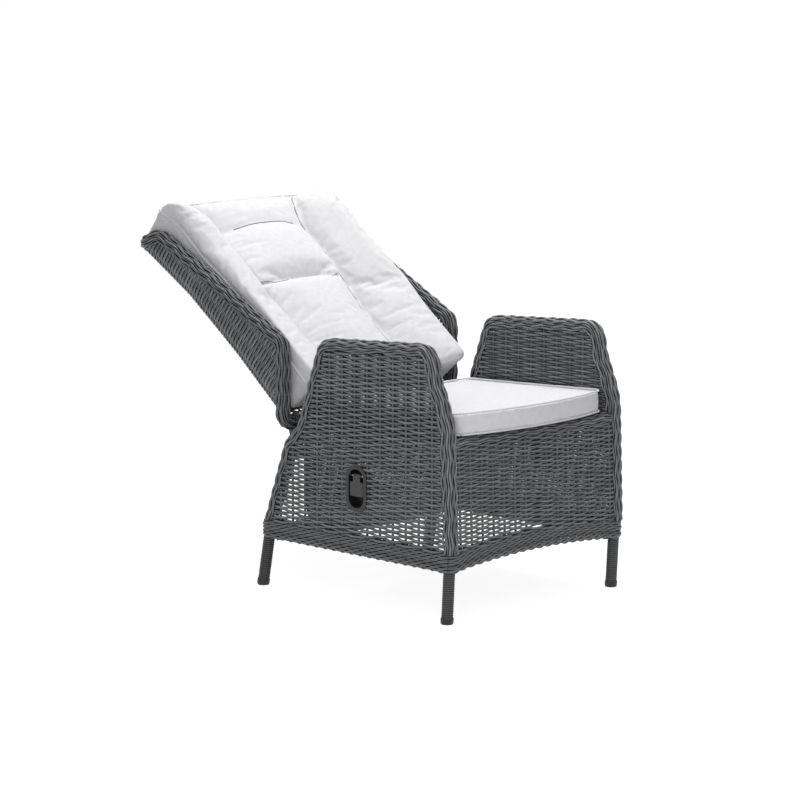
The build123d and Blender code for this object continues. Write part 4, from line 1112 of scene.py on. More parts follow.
@dataclass
class BackPlane:
    """The reclined backrest's own axes: t runs up the back and n out of its front."""

    origin: tuple = (0.0, 264.0, 429.0)
    degrees: float = 37.7

    def place(self, x: Array, t: Array, n: Array) -> Array:
        """Places points of the back in space.

        Args:
            x: Places across, or one place for all.
            t: Heights up the back.
            n: Levels out of its front.

        Returns:
            The drawn points.
        """
        turn = math.radians(self.degrees)
        y = self.origin[1] + t * math.cos(turn) - n * math.sin(turn)
        z = self.origin[2] + t * math.sin(turn) + n * math.cos(turn)
        return np.column_stack([np.broadcast_to(x, y.shape), y, z])

    def direction(self, x: float, t: float, n: float) -> Array:
        """Direction in space from its x, t and n parts."""
        turn = math.radians(self.degrees)
        return np.array([x, t * math.cos(turn) - n * math.sin(turn), t * math.sin(turn) + n * math.cos(turn)])


@dataclass
class WovenBack:
    """Woven shell and rim of the backrest, sizes in millimetres."""

    finishes: Finishes
    plane: BackPlane = field(default_factory=BackPlane)
    wing_x: float = 294.0
    wing_n: float = 160.0       # no stake of the wings stands further out than this
    # Corners of the rim seen from the side, t and n, with their radii.
    profile: tuple = ((-31.0, 2.0), (88.0, 158.0), (577.0, 70.0), (620.0, -4.0))
    radii: tuple = (24.0, 34.0, 60.0, 45.0)
    shell_half: float = 298.5
    shell_n: float = -5.5
    bow_from: float = 250.0     # above this height the back bows out behind
    bow: float = 8.0
    # The bend between back and wing: heights up the back, and its radius at each.
    corner_heights: tuple = (-20.0, 200.0, 420.0, 610.0)
    corner_radii: tuple = (58.0, 74.0, 72.0, 42.0)
    tuck: float = 11.0
    middle_half: float = 205.0      # the middle of the shell's three pieces ends here
    shortest: float = 6.0           # a shorter row is left out
    limit_step: float = 3.0
    weave: Weave = Weave(row=5.85, pitch=41.0, first=0.0, samples=7, lift=2.7, stake_step=12.0)
    rim: Binding = Binding(radius=14.4, count=16)

    def build(self) -> None:
        """Builds the rim and the shell."""
        self.back_rim()
        self.back_shell()

    def back_rim(self) -> None:
        """Wrapped rim round the whole backrest."""
        low, corner, top, crest = self.profile
        half = filleted(
            [(0.0, *low), (-self.wing_x, *low), (-self.wing_x, *corner), (-self.wing_x, *top),
             (-self.wing_x, *crest), (0.0, *crest)], self.radii,
        )
        mirrored = (half * [-1, 1, 1])[::-1]
        loop = np.vstack([half, mirrored[1:]])
        line = self.plane.place(loop[:, 0], loop[:, 1], loop[:, 2])
        bundle = TubeBundle()
        self.rim.wrap(bundle, line, self.plane.direction(0.0, -1.0, 0.0))
        # The rim gets the darker copy of the strand: painted shade.
        made = bundle.build("back_rim_weave", self.finishes.shaded_border_resin)
        settle(made, Body.BACKREST, Slot.RESIN, "back_rim")

    def front_limit(self, t: Array) -> Array:
        """How far out the wings reach inside the rim.

        Args:
            t: Heights up the back.

        Returns:
            The level that they reach at each height.
        """
        line = even(filleted(self.profile, self.radii[1:3]), self.limit_step)
        along = tangents(line)
        inner = line + np.stack([along[:, 1], -along[:, 0]], axis=1) * self.tuck
        rising = np.argmax(inner[:, 1])
        t_low, n_low = inner[:rising + 1, 0], inner[:rising + 1, 1]
        t_high, n_high = inner[rising:, 0], inner[rising:, 1]
        return np.minimum(np.interp(t, t_low, n_low), np.interp(t, t_high, n_high))

    def around(self, reach: Array, t: Array) -> tuple[Array, Array, Array, Array]:
        """Section of the shell by the distance from the middle of the back.

        Args:
            reach: Signed distances along the section.
            t: Heights up the back, one for each distance.

        Returns:
            x and n of the section's middle, and the x and n parts of its outward direction.
        """
        radius = np.interp(t, self.corner_heights, self.corner_radii)
        flat = self.shell_half - radius
        sign, far = np.sign(reach), np.abs(reach)
        angle = np.clip((far - flat) / radius, 0, math.pi / 2)
        rest = np.maximum(far - flat - radius * math.pi / 2, 0)
        x = np.minimum(far, flat) + radius * np.sin(angle)
        n = self.back_n(t) + radius * (1 - np.cos(angle)) + rest
        return sign * x, n, sign * np.sin(angle), -np.cos(angle)

    def back_n(self, t: Array) -> Array:
        """Level of the flat back, which bows out behind towards the top."""
        up = np.clip((t - self.bow_from) / (self.profile[-1][0] - self.bow_from), 0, 1)
        return self.shell_n - self.bow * up ** 2

    def reach_to(self, n: float, t: float) -> float:
        """Finds where the section comes to a level.

        Args:
            n: The level.
            t: Height up the back.

        Returns:
            Distance along the section from its middle.
        """
        radius = float(np.interp(t, self.corner_heights, self.corner_radii))
        flat, rise = self.shell_half - radius, n - float(self.back_n(np.array(t)))
        if rise <= 0:
            return 0.0
        if rise < radius:
            return flat + radius * math.acos(1 - rise / radius)
        return flat + radius * math.pi / 2 + rise - radius

    def back_shell(self) -> None:
        """Woven shell: the back in the middle and a wing with its bend on each side."""
        weave = self.weave
        low_t, high_t = self.profile[0][0] + self.tuck, self.profile[-1][0] - self.tuck
        edge = self.middle_half
        parts = {"left": (-math.inf, -edge), "middle": (-edge, edge), "right": (edge, math.inf)}
        normal_x = self.plane.direction(1.0, 0.0, 0.0)
        normal_n = self.plane.direction(0.0, 0.0, 1.0)
        farthest = self.reach_to(self.wing_n, self.profile[1][0])
        for name, (left, right) in parts.items():
            bundle = TubeBundle()
            for row in range(math.ceil(low_t / weave.row), math.floor(high_t / weave.row) + 1):
                t = row * weave.row
                limit = self.reach_to(float(self.front_limit(np.array([t]))[0]), t)
                start, end = max(-limit, left), min(limit, right)
                if end - start < self.shortest:
                    continue
                places = weave.row_places(start, end)
                wave = weave.swing(places, row)
                x, n, out_x, out_n = self.around(places, np.full_like(places, t))
                depth = weave.lift * wave
                line = self.plane.place(x + out_x * depth, np.full_like(x, t) - weave.crowd * wave,
                                        n + out_n * depth)
                bundle.add(line, np.outer(out_x, normal_x) + np.outer(out_n, normal_n), weave.strand / 2)
            for place in weave.stake_places(max(-farthest, left), min(farthest, right)):
                t = np.arange(low_t, high_t, weave.stake_step)
                x, n, out_x, out_n = self.around(np.full_like(t, place), t)
                inside = self.front_limit(t) >= n
                if inside.sum() < 2:
                    continue
                line = self.plane.place(x, t, n)[inside]
                outward = (np.outer(out_x, normal_x) + np.outer(out_n, normal_n))[inside]
                bundle.add(line, outward, weave.stake / 2, squash=weave.flatness)
            made = bundle.build(f"back_shell_weave_{name}", self.finishes.resin)
            settle(made, Body.BACKREST, Slot.RESIN, "back_shell")


# Cushions


def ring_stack(rings: Sequence[Array]) -> tuple[Array, Array]:
    """Joins closed rings of equal count into a closed skin of quads.

    Args:
        rings: Rings from one end to the other; each end is closed by its ring's own grid.

    Returns:
        Points and quads.
    """
    count = len(rings[0])
    strip = np.arange(count // 2 - 1)
    low = np.stack([strip, (count - strip) % count, (count - 1 - strip) % count, strip + 1], axis=-1)
    low = low[[len(set(q)) == 4 for q in low.tolist()]]
    last = (len(rings) - 1) * count
    return np.vstack(rings), np.vstack([skin_quads(len(rings), count), low, low[:, ::-1] + last])


@dataclass(frozen=True)
class Stuffing:
    """How a cushion's cloth is blown up over its filling."""

    cap: float              # millimetres that a point may move at most
    pressure: float
    slack: float = 0.0      # share that the cloth may grow by
    voxel: float = 6.0      # millimetres between the points of the even skin
    frames: int = 20
    quality: int = 4

    def fill(self, made: bpy.types.Object, held: Callable[[Array], Array]) -> None:
        """Remeshes a cushion, blows it up with cloth simulation and caps how far its points go.

        Args:
            made: The cushion, in the shared frame.
            held: Gives each point's hold from 0, free, to 1, sewn fast.
        """
        bpy.context.view_layer.objects.active = made
        remesh = made.modifiers.new("even_skin", "REMESH")
        remesh.mode, remesh.voxel_size = "VOXEL", self.voxel * MM
        bpy.ops.object.modifier_apply(modifier=remesh.name)
        rest = read_vertices(made)
        group = made.vertex_groups.new(name="sewn")
        levels = np.round(held(rest), 1)
        for level in np.unique(levels[levels > 0]):
            group.add(np.nonzero(levels == level)[0].tolist(), float(level), "REPLACE")
        cloth = made.modifiers.new("blown", "CLOTH")
        cloth.settings.use_pressure = True
        cloth.settings.uniform_pressure_force = self.pressure
        cloth.settings.vertex_group_mass = group.name
        cloth.settings.pin_stiffness = 1.0
        cloth.settings.shrink_min = -self.slack
        cloth.settings.effector_weights.gravity = 0
        cloth.settings.quality = self.quality
        cloth.collision_settings.use_collision = False
        cloth.point_cache.frame_start = 1
        cloth.point_cache.frame_end = self.frames
        for number in range(1, self.frames + 1):
            bpy.context.scene.frame_set(number)
        bpy.ops.object.modifier_apply(modifier=cloth.name)
        bpy.context.scene.frame_set(1)
        move = read_vertices(made) - rest
        far = np.linalg.norm(move, axis=1)
        move *= np.minimum(1, self.cap * MM / np.maximum(far, 1e-9))[:, None]
        write_points(made, rest + move)
        made.data.shade_smooth()


def read_vertices(made: bpy.types.Object, what: str = "co") -> Array:
    """Reads a vector of each vertex of an object.

    Args:
        made: The object.
        what: Its place, "co", or its direction outwards, "normal".

    Returns:
        One row a vertex.
    """
    flat = np.zeros(3 * len(made.data.vertices), np.float32)
    made.data.vertices.foreach_get(what, flat)
    return flat.reshape(-1, 3).astype(float)


def write_points(made: bpy.types.Object, points: Array) -> None:
    """Writes an object's vertices back."""
    made.data.vertices.foreach_set("co", points.astype(np.float32).ravel())
    made.data.update()


def to_drawn(points: Array) -> Array:
    """Shared-frame metres to drawn millimetres."""
    return points / MM - DRAWN_TO_FRAME


def pipe(name: str, line: Array, normal: Array, width: float, material: bpy.types.Material,
         body: Body) -> None:
    """Lays a round piping along a line, as a piece of its own.

    Args:
        name: Name of the piece.
        line: Its middle line in drawn millimetres.
        normal: Direction that its section keeps to.
        width: Its width.
        material: Its material.
        body: Body that it rides on.
    """
    bundle = TubeBundle(sides=8)
    bundle.add(line, normal, width / 2)
    settle(bundle.build(name, material), body, Slot.FABRIC)


@dataclass
class SeatCushion:
    """Boxed seat cushion with a bowed front and piped edges, sizes in millimetres."""

    finishes: Finishes
    half: float = 262.0
    front: float = -306.0
    rear: float = 144.0
    low_front: float = 444.0
    drop: float = 19.0
    thick: float = 48.0
    bow: float = 44.0
    corner: float = 26.0
    draw_in: float = 5.0
    crown: float = 7.0
    crown_power: float = 2.4    # how flat the crown is in the middle
    lip: float = 6.5            # the boxed edge hangs this far below the underside
    side_bulge: float = 1.5
    start_in: float = 3.0       # the cloth starts this far inside its filled shape
    softening: int = 6          # rounds of averaging that soften the plan's corners
    # Rings of the skin: shares of the plan below, heights on the boxed edge, and shares of the plan on top.
    low_shares: tuple = (0.02, 0.35, 0.7, 0.93)
    lip_share: float = 0.965
    edge_heights: tuple = (2.0, 8.0, 16.0, 24.0, 32.0, 40.0)
    top_shares: tuple = (0.93, 0.85, 0.7, 0.5, 0.3, 0.02)
    held_high: float = 6.0      # the cloth is held this near to an edge's height
    held_in: float = 10.0       # and this near to it in plan
    held_under: float = 12.0    # further in than this, all of the underside is held
    edge_in: float = 3.0
    piping: float = 5.0
    piping_in: float = 2.5
    piping_down: float = 1.0    # of the upper one, from the top edge
    piping_up: float = 3.5      # of the lower one, from the low edge
    stuffing: Stuffing = Stuffing(cap=8.0, pressure=3.0)

    @property
    def slope(self) -> float:
        """Fall of the underside towards the rear."""
        return self.drop / (self.rear - self.front)

    def outline(self, shrink: float = 0.0) -> Array:
        """Plan of the cushion as a closed ring.

        Args:
            shrink: How far it lies inside the filled shape.

        Returns:
            x and y of its evenly spaced points.
        """
        half, length = self.half - shrink, self.rear - self.front - 2 * shrink
        across = np.linspace(-1, 1, 33)
        curve = 1 - across ** 2
        front = np.column_stack([across * half, -self.bow * curve])
        right = np.column_stack([half - self.draw_in * curve, (across + 1) / 2 * length])
        rear = np.column_stack([-across * half, length - self.draw_in * curve])
        left = np.column_stack([-half + self.draw_in * curve, (1 - across) / 2 * length])
        line = np.vstack([front[1:-1], right[1:-1], rear[1:-1], left[1:-1]])
        ring = even(np.vstack([line, line[:1]]), 4.0)[:-1]
        for _ in range(self.softening):
            ring = (np.roll(ring, 1, axis=0) + 2 * ring + np.roll(ring, -1, axis=0)) / 4
        return ring + [0.0, self.front + shrink]

    def lift(self, flat: Array, height: Array) -> Array:
        """Places points over the sloping underside.

        Args:
            flat: x and y of the points.
            height: Height of each over the underside.

        Returns:
            The drawn points.
        """
        z = self.low_front - (flat[:, 1] - self.front) * self.slope + height
        y = flat[:, 1] + height * self.slope
        return np.column_stack([flat[:, 0], y, z])

    def height_at(self, flat: Array) -> Array:
        """Height of the crowned top over the underside.

        Args:
            flat: x and y of the points.

        Returns:
            The height at each point.
        """
        middle = (self.front + self.rear) / 2
        across = np.clip(np.abs(flat[:, 0]) / self.half, 0, 1)
        along = np.clip(np.abs(flat[:, 1] - middle) / (self.rear - middle), 0, 1)
        return self.thick + self.crown * (1 - across ** self.crown_power) * (1 - along ** self.crown_power)

    def build(self) -> None:
        """Builds the cushion and its piping."""
        ring = self.outline(self.start_in)
        middle = ring.mean(axis=0)
        low = self.start_in - self.lip
        rings = []
        for share, height in (*((share, self.start_in) for share in self.low_shares), (self.lip_share, low)):
            flat = middle + (ring - middle) * share
            rings.append(self.lift(flat, np.full(len(flat), height)))
        for height in (low, *self.edge_heights, self.thick - self.start_in):
            bulge = 1 - abs(height / self.thick * 2 - 1) ** 2
            flat = inset(ring, -self.side_bulge * bulge)
            rings.append(self.lift(flat, np.full(len(flat), height)))
        for share in self.top_shares:
            flat = middle + (ring - middle) * share
            rings.append(self.lift(flat, self.height_at(flat) - self.start_in))
        points, quads = ring_stack(rings)
        made = quad_object("seat_cushion_pad", (points + DRAWN_TO_FRAME) * MM, quads, self.finishes.cloth)
        self.stuffing.fill(made, self.held)
        settle(made, Body.BASE, Slot.FABRIC, "seat_cushion")
        self.pipings()

    def held(self, points_m: Array) -> Array:
        """Holds the piped edges and the underside.

        Args:
            points_m: Points of the skin in metres.

        Returns:
            1 for each point that is held and 0 for the others.
        """
        # Every sixth point of the edge is near enough to measure from.
        edge = inset(self.outline(self.start_in), self.edge_in)[::6]
        drawn = to_drawn(points_m)
        height = drawn[:, 2] - self.low_front + (drawn[:, 1] - self.front) * self.slope
        from_edge = np.min(np.linalg.norm(drawn[:, None, :2] - edge[None, :, :], axis=2), axis=1)
        rim = np.minimum(abs(height - self.thick), abs(height + self.lip)) < self.held_high
        under = (height < self.held_high) & (from_edge > self.held_under)
        return np.where(under | (rim & (from_edge < self.held_in)), 1.0, 0.0)

    def pipings(self) -> None:
        """Piping round the top and the bottom edge."""
        ring = inset(self.outline(), self.piping_in)
        heights = {"seat_piping_top": self.thick - self.piping_down,
                   "seat_piping_bottom": self.piping_up - self.lip}
        for name, height in heights.items():
            line = self.lift(ring, np.full(len(ring), height))
            pipe(name, np.vstack([line, line[:2]]), np.array([0.0, 0.0, 1.0]), self.piping,
                 self.finishes.piping, Body.BASE)


@dataclass(frozen=True)
class Channel:
    """A cross channel sewn into the centre of the back cushion, sizes in millimetres."""

    height: float       # up the back
    dip: float          # how deep the centre sinks towards it
    dip_width: float
    press: float        # how deep its sewing presses into the cloth
    press_width: float
    stitched: float     # share of the centre's width that its fold runs over


@dataclass
class BackCushion:
    """Back cushion with two bolsters, a centre pad and two sewn cross channels, in millimetres."""

    finishes: Finishes
    plane: BackPlane = field(default_factory=BackPlane)
    half: float = 273.0
    back_n: float = 16.6
    top_t: float = 645.0
    low_t: float = -39.0
    heel_t: float = -6.0
    heel_n: float = 78.0
    tip_n: float = 152.0
    centre_n: float = 127.0
    centre_top_n: float = 108.0     # the centre's top end, which falls off from top_fall_t on
    top_fall_t: float = 600.0
    # Heights up the back, with the crests of the bolsters, their seams and their piped edges there.
    heights: tuple = (-39, 0, 80, 160, 200, 240, 280, 320, 360, 400, 440, 480, 520, 560, 600, 626, 645)
    crests: tuple = (152, 156, 156, 157, 159, 161, 163, 165, 166, 166, 166, 168, 170, 166, 158, 136, 101)
    seams: tuple = (96, 93, 88, 84, 82, 82, 84, 87, 92, 96, 96, 94, 92, 95, 106, 109, 106)
    seam_places: tuple = (128, 128, 128, 130, 132, 136, 140, 144, 148, 150, 150, 150, 150, 153, 164, 171, 174)
    edges: tuple = (112, 114, 117, 119, 120, 122, 123, 121, 119, 114, 110, 110, 112, 111, 103, 97, 98)
    # Section of a bolster from its seam to the outer face: shares of its width and of its rise.
    section_across: tuple = (0.0, 0.05, 0.12, 0.3, 0.45, 0.6, 0.72, 0.82, 0.9, 0.96, 1.0)
    section_rise: tuple = (0.0, 0.08, 0.18, 0.43, 0.63, 0.82, 0.94, 1.0, 1.0, 0.97, 0.91)
    # Section of the centre: powers of the share across and of the rise.
    centre_across: float = 2.6
    centre_rise: float = 0.7
    deep: Channel = Channel(height=345.0, dip=21.0, dip_width=22.0, press=6.0, press_width=6.0, stitched=0.93)
    soft: Channel = Channel(height=530.0, dip=9.0, dip_width=30.0, press=3.0, press_width=10.0, stitched=0.7)
    dip_fade: float = 3.0       # the dips fade out over one part in this many of the half width
    start_in: float = 2.5       # the cloth starts this far inside its filled shape
    # The skin's rings: points across its front, and shares of the way from the lower end to the top.
    points_across: int = 121
    low_stations: tuple = (0.0, 0.004, 0.012, 0.022)
    even_stations: tuple = (0.034, 0.978, 90)
    top_stations: tuple = (0.988, 0.995, 1.0)
    low_round: float = 24.0     # radii of the front's ends
    top_round: float = 15.0
    end_narrow: float = 0.5     # how much the width draws in where the front falls off
    # The outer faces: bulge under the crest, how far below it, and its width; groove of the piped edge and
    # its width; how far they draw in below that edge, and over what height.
    face_bulge: tuple = (1.5, 16.0, 14.0)
    face_groove: tuple = (2.0, 7.0)
    face_fall: tuple = (4.0, 30.0)
    draw_in: float = 0.018      # share that the sides draw in by beside the arms, below arms_t
    arms_t: float = 260.0
    arms_fade: float = 90.0
    front_from: float = 60.0    # the front face lies above this level
    front_fade: float = 20.0
    # Where the cloth is held: by a seam, by a piped edge across and in level, over the back, at the ends.
    held_seam: float = 5.0
    held_edge: tuple = (9.0, 7.0)
    held_back: float = 8.0
    held_end: float = 16.0
    # How the seams press into the cloth, and how deep and close their puckers are.
    seam_press: float = 4.5
    seam_width: float = 5.0
    pucker: float = 0.35
    pucker_step: float = 7.0
    channel_fade: float = 12.0
    shade_fold: float = 1.3           # radius of the stitched folds, and how far out of the cloth they lie
    fold_out: float = 0.9
    fold_step: float = 6.0
    fold_ends: tuple = (45.0, 14.0)     # how far from the cushion's ends the long folds stop
    fold_softening: int = 4
    piping: float = 5.0
    piping_in: float = 3.0
    piping_down: float = 8.0
    piping_corner: float = 14.0
    piping_ends: tuple = (26.0, 7.0)
    stuffing: Stuffing = Stuffing(cap=12.0, pressure=4.0, slack=0.02)

    @property
    def channels(self) -> tuple[Channel, Channel]:
        """Both cross channels."""
        return self.deep, self.soft

    def seam_x(self, t: Array) -> Array:
        """Distance of the bolsters' seams from the middle."""
        return np.interp(t, self.heights, self.seam_places)

    def edge_n(self, t: Array) -> Array:
        """Level of the piped edges on the outer faces."""
        return np.interp(t, self.heights, self.edges)

    def front_n(self, x: Array, t: Array) -> Array:
        """Height of the cushion's front over the back plane.

        Args:
            x: Places across.
            t: Heights up the back.

        Returns:
            The level at each place.
        """
        far, seam = np.abs(x), self.seam_x(t)
        base, crest = np.interp(t, self.heights, self.seams), np.interp(t, self.heights, self.crests)
        across = np.clip((far - seam) / (self.half - seam), 0, 1)
        bolster = base + (crest - base) * np.interp(across, self.section_across, self.section_rise)
        inner = np.clip(far / seam, 0, 1)
        dips = sum(channel.dip * bell(t - channel.height, channel.dip_width) for channel in self.channels)
        level = np.interp(t, [self.top_fall_t, self.top_t], [self.centre_n, self.centre_top_n])
        crown = level - dips * np.clip((1 - inner) * self.dip_fade, 0, 1)
        centre = base + (crown - base) * (1 - inner ** self.centre_across) ** self.centre_rise
        return np.where(far > seam, bolster, centre)

    def narrowing(self, t: Array) -> Array:
        """Share of the width kept: the lower end draws in between the arms."""
        return 1 - self.draw_in * np.clip((self.arms_t - t) / self.arms_fade, 0, 1)

    def end_drop(self, from_end: Array, radius: float) -> Array:
        """How far a face draws in near an end of the cushion."""
        short = np.clip(1 - from_end / radius, 0, 1)
        return radius * (1 - np.sqrt(1 - short ** 2))

    def low_end(self, n: Array) -> Array:
        """t of the cushion's lower end at each level."""
        return np.interp(n, [self.heel_n, self.tip_n], [self.heel_t, self.low_t])

    def build(self) -> None:
        """Builds the cushion, its piping and its seams."""
        stations = [*self.low_stations, *np.linspace(*self.even_stations), *self.top_stations]
        points, quads = self.loft([self.ring(station) for station in stations], self.points_across)
        points_m = (points + DRAWN_TO_FRAME) * MM
        # The pad gets the greyer copy of the cloth: painted shade.
        made = quad_object("back_cushion_pad", points_m, quads, self.finishes.back_cloth_painted_shade)
        self.stuffing.fill(made, self.held)
        self.sew(made)
        settle(made, Body.BACKREST, Slot.FABRIC, "back_cushion")
        self.stitch(made)
        self.pipings()

    def ring(self, station: float) -> Array:
        """One ring of the cushion's skin: front, right face, back and left face.

        Args:
            station: Share of the way from the lower end to the top.

        Returns:
            Its drawn points.
        """
        wide = self.half - self.start_in
        x = np.linspace(-wide, wide, self.points_across)
        t_mid = self.low_t + (self.top_t - self.low_t) * station
        drop = (self.end_drop(t_mid - self.low_t, self.low_round)
                + self.end_drop(self.top_t - t_mid, self.top_round))
        front = self.front_n(x, np.full_like(x, t_mid)) - self.start_in - drop
        back = np.full_like(x, self.back_n + self.start_in)
        right_n = front[-1] + (back[-1] - front[-1]) * np.linspace(0, 1, 16)[1:-1]
        (bulge, down, bulge_width), (groove, groove_width) = self.face_bulge, self.face_groove
        fall, fall_height = self.face_fall
        out = (wide + bulge * bell(right_n - front[-1] + down, bulge_width)
               - groove * bell(right_n - self.edge_n(t_mid), groove_width)
               - fall * np.clip((self.edge_n(t_mid) - right_n) / fall_height, 0, 1))
        narrow = self.narrowing(t_mid) - self.end_narrow * drop / self.half
        ring_x = np.concatenate([x, out, x[::-1], -out[::-1]]) * narrow
        ring_n = np.concatenate([front, right_n, back, right_n[::-1]])
        ends, top = self.low_end(ring_n), self.top_t - self.start_in
        t = ends + self.start_in + (top - ends - self.start_in) * station
        return self.plane.place(ring_x, t, ring_n)

    def loft(self, rings: Sequence[Array], count: int) -> tuple[Array, Array]:
        """Skin of the rings with both ends closed across the cushion.

        Args:
            rings: Rings from the lower end to the top.
            count: How many points of each lie on the front, and as many on the back.

        Returns:
            Points and quads.
        """
        size = len(rings[0])
        gap = (size - 2 * count) // 2
        front = np.arange(count - 1)
        back = 2 * count + gap - 1 - front
        low = np.stack([front, back, back - 1, front + 1], axis=-1)
        last = (len(rings) - 1) * size
        sides = []
        right = np.concatenate([[count - 1], np.arange(count, count + gap), [count + gap]])
        left = np.concatenate([[2 * count + gap - 1], np.arange(2 * count + gap, size), [0]])
        for line in (right, left):
            for index in range(1, len(line) - 2, 2):
                sides.append([line[0], line[index], line[index + 1], line[index + 2]])
        ends = np.vstack([low, np.array(sides)])
        return np.vstack(rings), np.vstack([skin_quads(len(rings), size), ends, ends[:, ::-1] + last])

    def in_back(self, points_m: Array) -> tuple[Array, Array, Array]:
        """Turns shared-frame points to the back's own axes.

        Args:
            points_m: The points in metres.

        Returns:
            x, t and n of the points.
        """
        drawn = to_drawn(points_m)
        turn = math.radians(self.plane.degrees)
        y, z = drawn[:, 1] - self.plane.origin[1], drawn[:, 2] - self.plane.origin[2]
        return drawn[:, 0], y * math.cos(turn) + z * math.sin(turn), z * math.cos(turn) - y * math.sin(turn)

    def held(self, points_m: Array) -> Array:
        """Holds the seams, the deep channel, the piped edges, the flat back, and what lies by seat and arms.

        Args:
            points_m: Points of the skin in metres.

        Returns:
            1 for each point that is held and 0 for the others.
        """
        x, t, n = self.in_back(points_m)
        far, front = np.abs(x), n > self.front_from
        seam = front & (np.abs(far - self.seam_x(t)) < self.held_seam)
        channel = front & (far < self.seam_x(t)) & (np.abs(t - self.deep.height) < self.held_seam)
        edge_across, edge_level = self.held_edge
        edge = (np.abs(far - self.half) < edge_across) & (np.abs(n - self.edge_n(t)) < edge_level)
        back = n < self.back_n + self.held_back
        low = t < self.low_end(n) + self.held_end
        beside_arms = (far > self.half - self.held_end) & (t < self.arms_t)
        return np.where(seam | channel | edge | back | low | beside_arms, 1.0, 0.0)

    def sew(self, made: bpy.types.Object) -> None:
        """Presses the sewn seams and channels into the cloth, with small puckers along the seams.

        Args:
            made: The finished pad.
        """
        points, out = read_vertices(made), read_vertices(made, "normal")
        x, t, n = self.in_back(points)
        far = np.abs(x)
        front = np.clip((n - self.front_from) / self.front_fade, 0, 1)
        seam = bell(far - self.seam_x(t), self.seam_width)
        inside = np.clip((self.seam_x(t) - far) / self.channel_fade, 0, 1)
        press = self.seam_press * seam * (1 + self.pucker * np.sin(t / self.pucker_step) * seam)
        for channel in self.channels:
            press = press + channel.press * (bell(t - channel.height, channel.press_width) * inside)
        write_points(made, points - out * (front * press * MM)[:, None])

    def stitch(self, made: bpy.types.Object) -> None:
        """Lays the stitched folds in the seams and channels of the pad; their grey is painted shade of the
        creases.

        Args:
            made: The pad, sewn.
        """
        points, out = read_vertices(made), read_vertices(made, "normal")
        _, _, level = self.in_back(points)
        tree = KDTree(len(points))
        for index in np.nonzero(level > self.front_from)[0].tolist():
            tree.insert(points[index], index)
        tree.balance()
        bundle = TubeBundle()
        t = np.arange(self.low_t + self.fold_ends[0], self.top_t - self.fold_ends[1], self.fold_step)
        runs = [(side.value * self.seam_x(t), t) for side in Side]
        for channel in self.channels:
            reach = channel.stitched * float(self.seam_x(np.array(channel.height)))
            x = np.arange(-reach, reach + 1, self.fold_step)
            runs.append((x, np.full_like(x, channel.height)))
        for x, t in runs:
            line = self.plane.place(x, t, self.front_n(x, t))
            starts = (line + DRAWN_TO_FRAME) * MM
            nearest = [tree.find(start)[1] for start in starts.tolist()]
            line = to_drawn(points[nearest] + out[nearest] * self.fold_out * MM)
            for _ in range(self.fold_softening):
                line[1:-1] = (line[:-2] + 2 * line[1:-1] + line[2:]) / 4
            bundle.add(line, self.plane.direction(0.0, 0.0, 1.0), self.shade_fold)
        # The grey of these folds is painted shade for the creases of the seams.
        shade_fold = bundle.build("back_cushion_seam_painted_shade", self.finishes.seam)
        settle(shade_fold, Body.BACKREST, Slot.FABRIC)

    def pipings(self) -> None:
        """Piping along both sides and the top of the front face."""
        t = np.linspace(self.low_t + self.piping_ends[0], self.top_t - self.piping_ends[1], 130)
        for side in Side:
            x = side.value * (self.half - self.piping_in) * self.narrowing(t)
            pipe(f"back_piping_{side.name.lower()}", self.plane.place(x, t, self.edge_n(t)),
                 self.plane.direction(side.value, 0.0, 0.0), self.piping, self.finishes.piping, Body.BACKREST)
        x = np.linspace(-self.half + self.piping_corner, self.half - self.piping_corner, 120)
        top = np.full_like(x, self.top_t - self.piping_in)
        n = self.front_n(x, top) - self.piping_down
        pipe("back_piping_top", self.plane.place(x, top, n), self.plane.direction(0.0, 1.0, 0.0),
             self.piping, self.finishes.piping, Body.BACKREST)


# CAD nodes that stay


@dataclass
class BareParts:
    """CAD nodes that keep their own shape and get their finish here."""

    finishes: Finishes

    def build(self) -> None:
        """Gives every node that is still shown its material."""
        given = {
            self.finishes.tube: (
                "side_frame_left", "side_frame_right", "front_rail", "rear_seat_rail", "seat_side_rails",
                "seat_cross_bars", "rear_cross_rail", "strut_lower_lugs", "back_frame", "back_braces",
                "hinge_plates", "strut_upper_lugs", "pivot_studs", "cable_stop",
            ),
            self.finishes.plastic: ("foot_caps", "lever_housing", "hinge_bushes", "cable_clips"),
            self.finishes.lever: ("release_lever",),
            self.finishes.webbing: ("seat_straps",),
            self.finishes.steel: (
                "strut_lower_pin", "strut_upper_pin", "pivot_nuts", "lever_pin", "lever_wire", "arm_wire",
                "gas_rod", "release_arm",
            ),
            self.finishes.strut: ("gas_cylinder", "gas_gland", "release_head"),
            self.finishes.sheath: ("release_cable",),
        }
        for material, names in given.items():
            for name in names:
                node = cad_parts[name]
                node.data.materials.clear()
                node.data.materials.append(material)
            log.info("%s on %d CAD nodes", material.name, len(names))


# Studio


@dataclass(frozen=True)
class Lamp:
    """A square lamp: its angle to the chair in degrees, its width in metres and its power in watts."""

    name: str
    azimuth: float
    elevation: float
    width: float
    power: float


